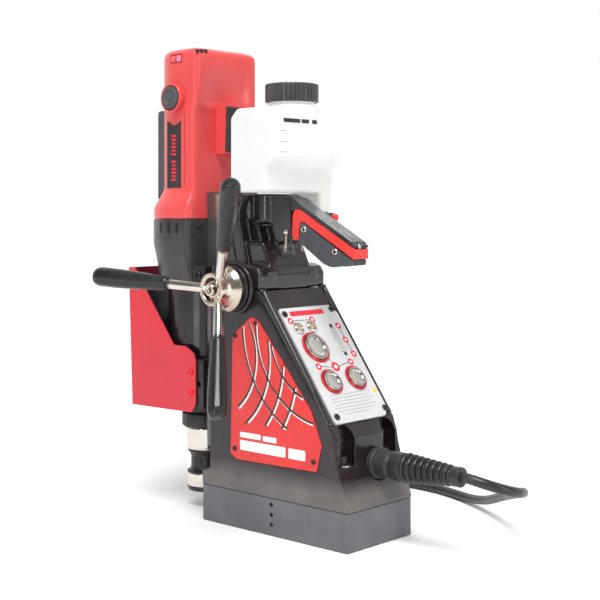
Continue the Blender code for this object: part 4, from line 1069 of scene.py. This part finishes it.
# ---------------------------------------------------------------- hood, handle, tank

# Raised lines on the hood: radius, sides, and points on its right side
RIBS = [
    ("hood_ridge", 1.5, 16, [(28.9, -43, 230), (28.9, -45.6, 239), (28.9, -49.6, 256), (28.9, -52.2, 267.5),
        (28.7, -52.4, 276), (27.5, -50.5, 284), (24, -49.6, 287.5)]),
    ("hood_fold", 1.1, 14, [(29.1, -55.5, 229), (29.4, -57.5, 240), (29.2, -60.5, 251)]),
    ("column_rib", 1.3, 14, [(16.5, -51.2, 289.5), (16.2, -50.6, 275), (15.2, -47.5, 262.5), (13, -42.5, 258.5),
        (10.5, -38, 258)]),
    ("column_lip", 1.2, 14, [(12.2, -50.3, 264.6), (14.4, -44, 263.6), (13.6, -36.5, 263.4),
        (9.4, -31, 263.8)]),
]
CHANNEL_HALF, CHANNEL_BACK = 10.6, -55.6      # the rack's channel, left open


def hood():
    low = [(-75, 207.8), (-13, 207.8), (-13, 221), (-17, 227), (-24, 229), (-75, 229)]
    front = [(-75, 216), (-41.5, 216), (-43.3, 231), (-45.3, 238), (-49.2, 255.6), (-52, 268), (-52, 276),
        (-50.5, 283), (-49, 287), (-49, 291.3), (-75, 291.3)]
    saddle = [(-70, 216), (-14.5, 216), (-17, 229), (-22, 240), (-26, 248.5), (-70, 248.5)]
    web = [(-55.6, 225), (-20, 225), (-20, 246), (-8.2, 250.5), (-8.2, 288), (-16, 291), (-55.6, 291)]
    shoulder = [(-55.6, 248), (-33, 248), (-38, 262), (-45, 268), (-55.6, 268)]
    parts = []
    for outline, half, corner, bevel in ((low, 41.8, 3, 4.5), (front, 29.2, 2, 1.8), (saddle, 25.8, 3, 3)):
        # Two cheeks beside the channel, and a middle that starts behind it
        middle = [(max(y, CHANNEL_BACK), z) for y, z in outline if y > -50]
        middle += [(CHANNEL_BACK, outline[-1][1]), (CHANNEL_BACK, outline[0][1])]
        for low_x, high_x in ((CHANNEL_HALF, half), (-half, -CHANNEL_HALF)):
            parts.append(prism_mesh(soften(outline, corner, 4, True), low_x, high_x, "YZ", bevel, 4))
        parts.append(prism_mesh(rounded(middle, 1), -18, 18, "YZ", 0.8, 4))
    parts.append(prism_mesh(rounded(web, 1.5), -9.2, 9.2, "YZ", 1, 3))
    parts.append(prism_mesh(rounded(shoulder, 3), -19, 19, "YZ", 3, 4))
    parts.append(cast_cylinder((0, -42.6, 266), (0, -42.6, 291.2), 14.5))
    cast_solid("hood", parts, 1, 3, "hood", CASTING, ["upper_housing"])
    for side, word in SIDES:
        for kind, radius, sides, points in RIBS:
            line = spread([(side * x, y, z) for x, y, z in points], 6)
            tube(f"{kind}_{word}", line, radius, "hood", CASTING, sides)
        # A locking pin on a short chain under the column
        lathe("pin_head_" + word, [(0, 2.6), (1.8, 2.4), (2.3, 1.2), (2.3, -1.2), (1.8, -2.4), (0, -2.6)],
            ((side * 10.2, -11.5, 257.6), (side, 0, 0)), "chrome", CASTING, (), 28, 0.3)
        for k in range(5):
            z = 254.4 - 3 * k
            along = Vector((0, 0.8, 0.3)) if k % 2 else Vector((0.8, 0, 0.3))
            middle = Vector((side * 10.9, -11.5 - 0.3 * k, z))
            link = [middle + along * math.cos(math.radians(a)) + Vector((0, 0, 2 * math.sin(math.radians(a))))
                for a in range(0, 361, 30)]
            tube(f"chain_link_{word}_{k + 1}", link, 0.45, "hub", CASTING, 8)
        lathe("barrel_pad_" + word, [(0, 0.5), (5, 0.5), (5.8, 0.2), (5.8, -0.5), (0, -0.5)],
            facing((side * 27, -13.2, 218.5), (0, 1, 0)), "hood", CASTING, (), 40, 0.3)


def cast_cylinder(start, end, radius, sides=40):
    start, end = Vector(start) * MM, Vector(end) * MM
    bm = bmesh.new()
    bmesh.ops.create_cone(bm, cap_ends=True, segments=sides, radius1=radius * MM, radius2=radius * MM,
        depth=(end - start).length)
    bmesh.ops.transform(bm, matrix=Matrix.Translation((start + end) / 2) @ turn_to(end - start),
        verts=bm.verts[:])
    return bm


def spread(points, per_leg):
    """A smooth line through points, by Catmull-Rom."""
    given = [Vector(p) for p in points]
    made = []
    for i in range(len(given) - 1):
        a = given[max(i - 1, 0)]
        b, c = given[i], given[i + 1]
        d = given[min(i + 2, len(given) - 1)]
        for k in range(per_leg):
            t = k / per_leg
            made.append(0.5 * ((2 * b) + (c - a) * t + (2 * a - 5 * b + 4 * c - d) * t ** 2
                + (3 * b - a - 3 * c + d) * t ** 3))
    return made + [given[-1]]


def handle():
    core = [(-7.3, 250.2), (-7.3, 286.5), (-2, 283.8), (10.7, 275.4), (29.6, 265.3), (48.1, 255.3),
        (60.5, 248.3), (63.6, 245.4), (64.4, 240), (63.4, 234.5), (62.7, 230.6), (40.6, 228.6), (36.4, 228.9),
        (29.3, 231.4), (14.9, 240.6), (2.9, 248.5)]
    prism("handle_inner", rounded(core, 1, 2), -6.6, 6.6, "matt_black", PLASTIC, bevel=0.6)
    band = [(-7.3, 276.2), (-7.3, 288.3), (-2.5, 285.6), (3.5, 281.5), (10.7, 277.5), (29.6, 267.4),
        (48.1, 257.4), (60.5, 250.4), (64.6, 246.6), (64.8, 244.9), (57.1, 248.9), (38.9, 258.7), (20.2, 268.7),
        (5.9, 276.4), (1.6, 278.2), (-5.2, 276)]
    prism("handle_top", rounded(band, 0.8, 3), -9.2, 9.2, "black", PLASTIC, bevel=1.8, segments=5,
        replaces=["handle_core"])
    stripe = [(-6.9, 254), (-6.2, 266), (-5.4, 274), (-3, 277), (1.6, 277.6), (5.9, 275.8), (20.2, 268.1),
        (38.9, 258.1), (57.1, 248.3), (64.6, 244.2), (64.4, 236), (63.4, 235.2), (52.6, 241.5), (38.9, 249),
        (20.2, 259.1), (7.2, 266.5), (3.1, 265.7), (1.9, 261.3), (0.6, 250.2), (-4.5, 250.6)]
    panel = [(2.7, 263.6), (3.6, 265.3), (6.9, 266), (22, 256.6), (36.2, 248.9), (50.2, 240.8), (63.2, 234.4),
        (62.3, 230.4), (40.6, 228.3), (36.4, 228.6), (29.3, 231.1), (14.9, 240.4), (1.4, 249)]
    for side, word in SIDES:
        prism("handle_stripe_" + word, stripe, side * 6.5, side * 9.35, "stripe", HANDLE, bevel=0.7, segments=3,
            replaces=["handle_panel_" + word])
        prism("handle_side_" + word, panel, side * 6.5, side * 8.9, "grey", HANDLE, bevel=0.6, segments=3)
        for k, (y, z) in enumerate(((7.4, 259.9), (42.7, 241.5))):
            place = facing((side * 8.85, y, z), (side, 0, 0))
            lathe(f"handle_ring_{word}_{k + 1}", [(1.5, 0.7), (2.4, 0.7), (2.8, 0.2), (2.8, -0.5), (1.5, -0.5)],
                place, "chrome", HANDLE, (), 32, 0.15, closed=True)
            # The screw's hole is a dark disc of painted shade inside the chrome ring
            lathe(f"handle_screw_{word}_{k + 1}", [(0, 0.3), (1.5, 0.3), (1.5, -0.5), (0, -0.5)], place,
                "painted_hole_shade", HANDLE, (), 24, 0.1)
    # The stripe and the dark band run round the handle's end
    prism("handle_end_stripe", rect(-9, 63.6, 9, 65, 0.5, 2), 235.9, 243.9, "stripe", HANDLE, "XY", 0.5, 3)
    lathe("handle_end_pin", [(0, 0.9), (1.3, 0.7), (1.9, 0), (1.9, -0.8), (0, -0.8)], facing((2.2, 64.7, 246.3),
        (0, 1, 0.2)), "chrome", PLASTIC, (), 32, 0.2)


def tank():
    outer = [(-47.8, 292.1), (-5.2, 292.1), (-5.2, 311), (6.8, 323), (6.8, 354), (-0.2, 365.4), (-39.8, 365.4),
        (-47.8, 357.4)]
    parts = [prism_mesh(rounded(outer, 4), -44.9, 44.9, "YZ", 3.4, 4),
        prism_mesh(rect(-44.8, -41.8, -27.2, -5.2, 3, 4), 262.3, 300, "XY", 2, 3), cast_cylinder((0, -15, 350),
        (0, -15, 369.5), 22.4, 64)]
    cast_solid("tank_shell", parts, 1.1, 5, "tank", TANK, ["tank"])
    place, tap_place = ((0, -15, 0), (0, 0, 1)), ((-33, 0, 270), (0, 1, 0))
    lathe("tank_thread", [(17, 360), (20, 360), (20, 384.7), (17, 384.7)], place, "tank", TANK, (), 64, 0.3,
        closed=True)
    cap = [(20.6, 371.4), (23, 371.4), (23.6, 371.9), (23.6, 386.4), (22.9, 387.5), (20.6, 387.9), (12.5, 388),
        (12, 387.4), (0, 387.4), (0, 385.1), (20.6, 385.1)]
    lathe("tank_lid", cap, place, "cap", ("tank_cap", "black_plastic"), ["tank_cap"], 288, 0.3, wave=lambda t,
        r, h: r - 0.9 * max(0, math.cos(36 * t)) if r > 22.9 and 372 < h < 386.6 else r)
    for k in range(3):
        z = 326 + 9 * k
        block(f"level_mark_{k + 1}", (30, 6.2, z), (38, 6.95, z + 0.7), "print_grey", TANK, 0.2)
    # A blank dark label, of plain bars
    for k, (x, reach) in enumerate(((23.4, 10.2), (1.2, 9.6))):
        block(f"tank_bar_{k + 1}", (x - reach, 6, 352), (x + reach, 7.25, 355.4), "print_black", TANK, 0.1)
    tap = [(0, -4.9), (5.2, -4.9), (5.4, -4), (4.4, -3.2), (4.4, 3.9), (0, 3.9)]
    lathe("tap_valve", tap, tap_place, "black", PLASTIC, ["tap_body"], 40, 0.4)
    lathe("tap_nozzle", [(0, 270), (3, 270), (3, 259), (2.4, 256.2), (1.6, 256.2), (1.4, 258), (0, 258)],
        ((-33, 0, 0), (0, 0, 1)), "black", PLASTIC, (), 36, 0.3)
    lathe("tap_handle_hub", [(0, 8.9), (2.6, 8.9), (3.4, 8), (3.4, 4.4), (0, 4.4)], tap_place, "stripe", TAP,
        ["tap_knob"], 40, 0.4)
    prism("tap_handle", soften([(-35.2, 268), (-30.8, 268), (-31.4, 272.6), (-34.6, 272.6)], 1, 3, True), 5.2,
        7.9, "stripe", TAP, "XZ", 0.5, 3)


# ---------------------------------------------------------------- studio

# Name, place, target, size and power
SOFTBOXES = [
    ("strip_right", (-0.35, 1.55, 0.6), (0, -0.05, 0.25), (0.12, 1.3), 5.5),
    ("strip_left", (1.7, 0.3, 0.6), (0, -0.05, 0.25), (0.12, 1.3), 5.5),
    ("rim", (-1.3, -0.6, 1.35), (0, -0.02, 0.25), (0.45, 0.08), 0.9),
    ("top", (0.45, 0.45, 1.5), (0, 0, 0.25), (0.5, 0.5), 4),
]


def softbox(name, place, target, size, power):
    data = bpy.data.lights.new(name, "AREA")
    data.shape = "RECTANGLE"
    data.size, data.size_y = size
    data.energy = power
    obj = into_scene(name, data)
    obj.location = place
    obj.rotation_euler = (Vector(target) - Vector(place)).to_track_quat("-Z", "Y").to_euler()
    obj.visible_camera = False


def studio():
    scene = bpy.context.scene
    scene.view_settings.view_transform = "Standard"
    world = bpy.data.worlds.new("studio")
    scene.world = world
    world.use_nodes = True
    tree = world.node_tree
    sky = tree.nodes["Background"]
    # A white backdrop behind the machine, and a dimmer room in front of it
    direction = tree.nodes.new("ShaderNodeTexCoord").outputs["Generated"]
    along = tree.nodes.new("ShaderNodeVectorMath")
    along.operation = "DOT_PRODUCT"
    tree.links.new(direction, along.inputs[0])
    along.inputs[1].default_value = VIEW
    level = tree.nodes.new("ShaderNodeMapRange")
    level.interpolation_type = "SMOOTHSTEP"
    for key, value in (("From Min", -0.3), ("From Max", 0.7), ("To Min", 0.22), ("To Max", 1)):
        level.inputs[key].default_value = value
    tree.links.new(along.outputs["Value"], level.inputs["Value"])
    sky.inputs["Color"].default_value = (1, 1, 1, 1)
    tree.links.new(level.outputs[0], sky.inputs["Strength"])
    bm = bmesh.new()
    bmesh.ops.create_circle(bm, cap_ends=True, segments=128, radius=60)
    mesh = bpy.data.meshes.new("floor")
    bm.to_mesh(mesh)
    bm.free()
    floor = into_scene("floor", mesh)
    floor.location.z = -0.0003
    g = Graph("floor_paper")
    g.set(Roughness=0.9)
    g.shader.inputs["Specular IOR Level"].default_value = 0
    g.link(g.mix(g.cloud(3, 3), (0.97, 0.97, 0.97), (0.955, 0.955, 0.955)), "Base Color")
    floor.data.materials.append(g.material)
    data = bpy.data.lights.new("sun", "SUN")
    data.energy = 2.4
    data.angle = math.radians(32)
    sun = into_scene("sun", data)
    sun.rotation_euler = (-Vector((0.45, 0.36, 1))).to_track_quat("-Z", "Y").to_euler()
    for name, place, target, size, power in SOFTBOXES:
        softbox(name, place, target, size, power)



camera()
lead_piece, lead_length = mains_lead()
lead_fittings()
base()
side_plates()
control_panel()
slides()
capstan()
motor()
gearbox()
spindle_parts()
dress("guard", "guard")
hood()
handle()
tank()
studio()
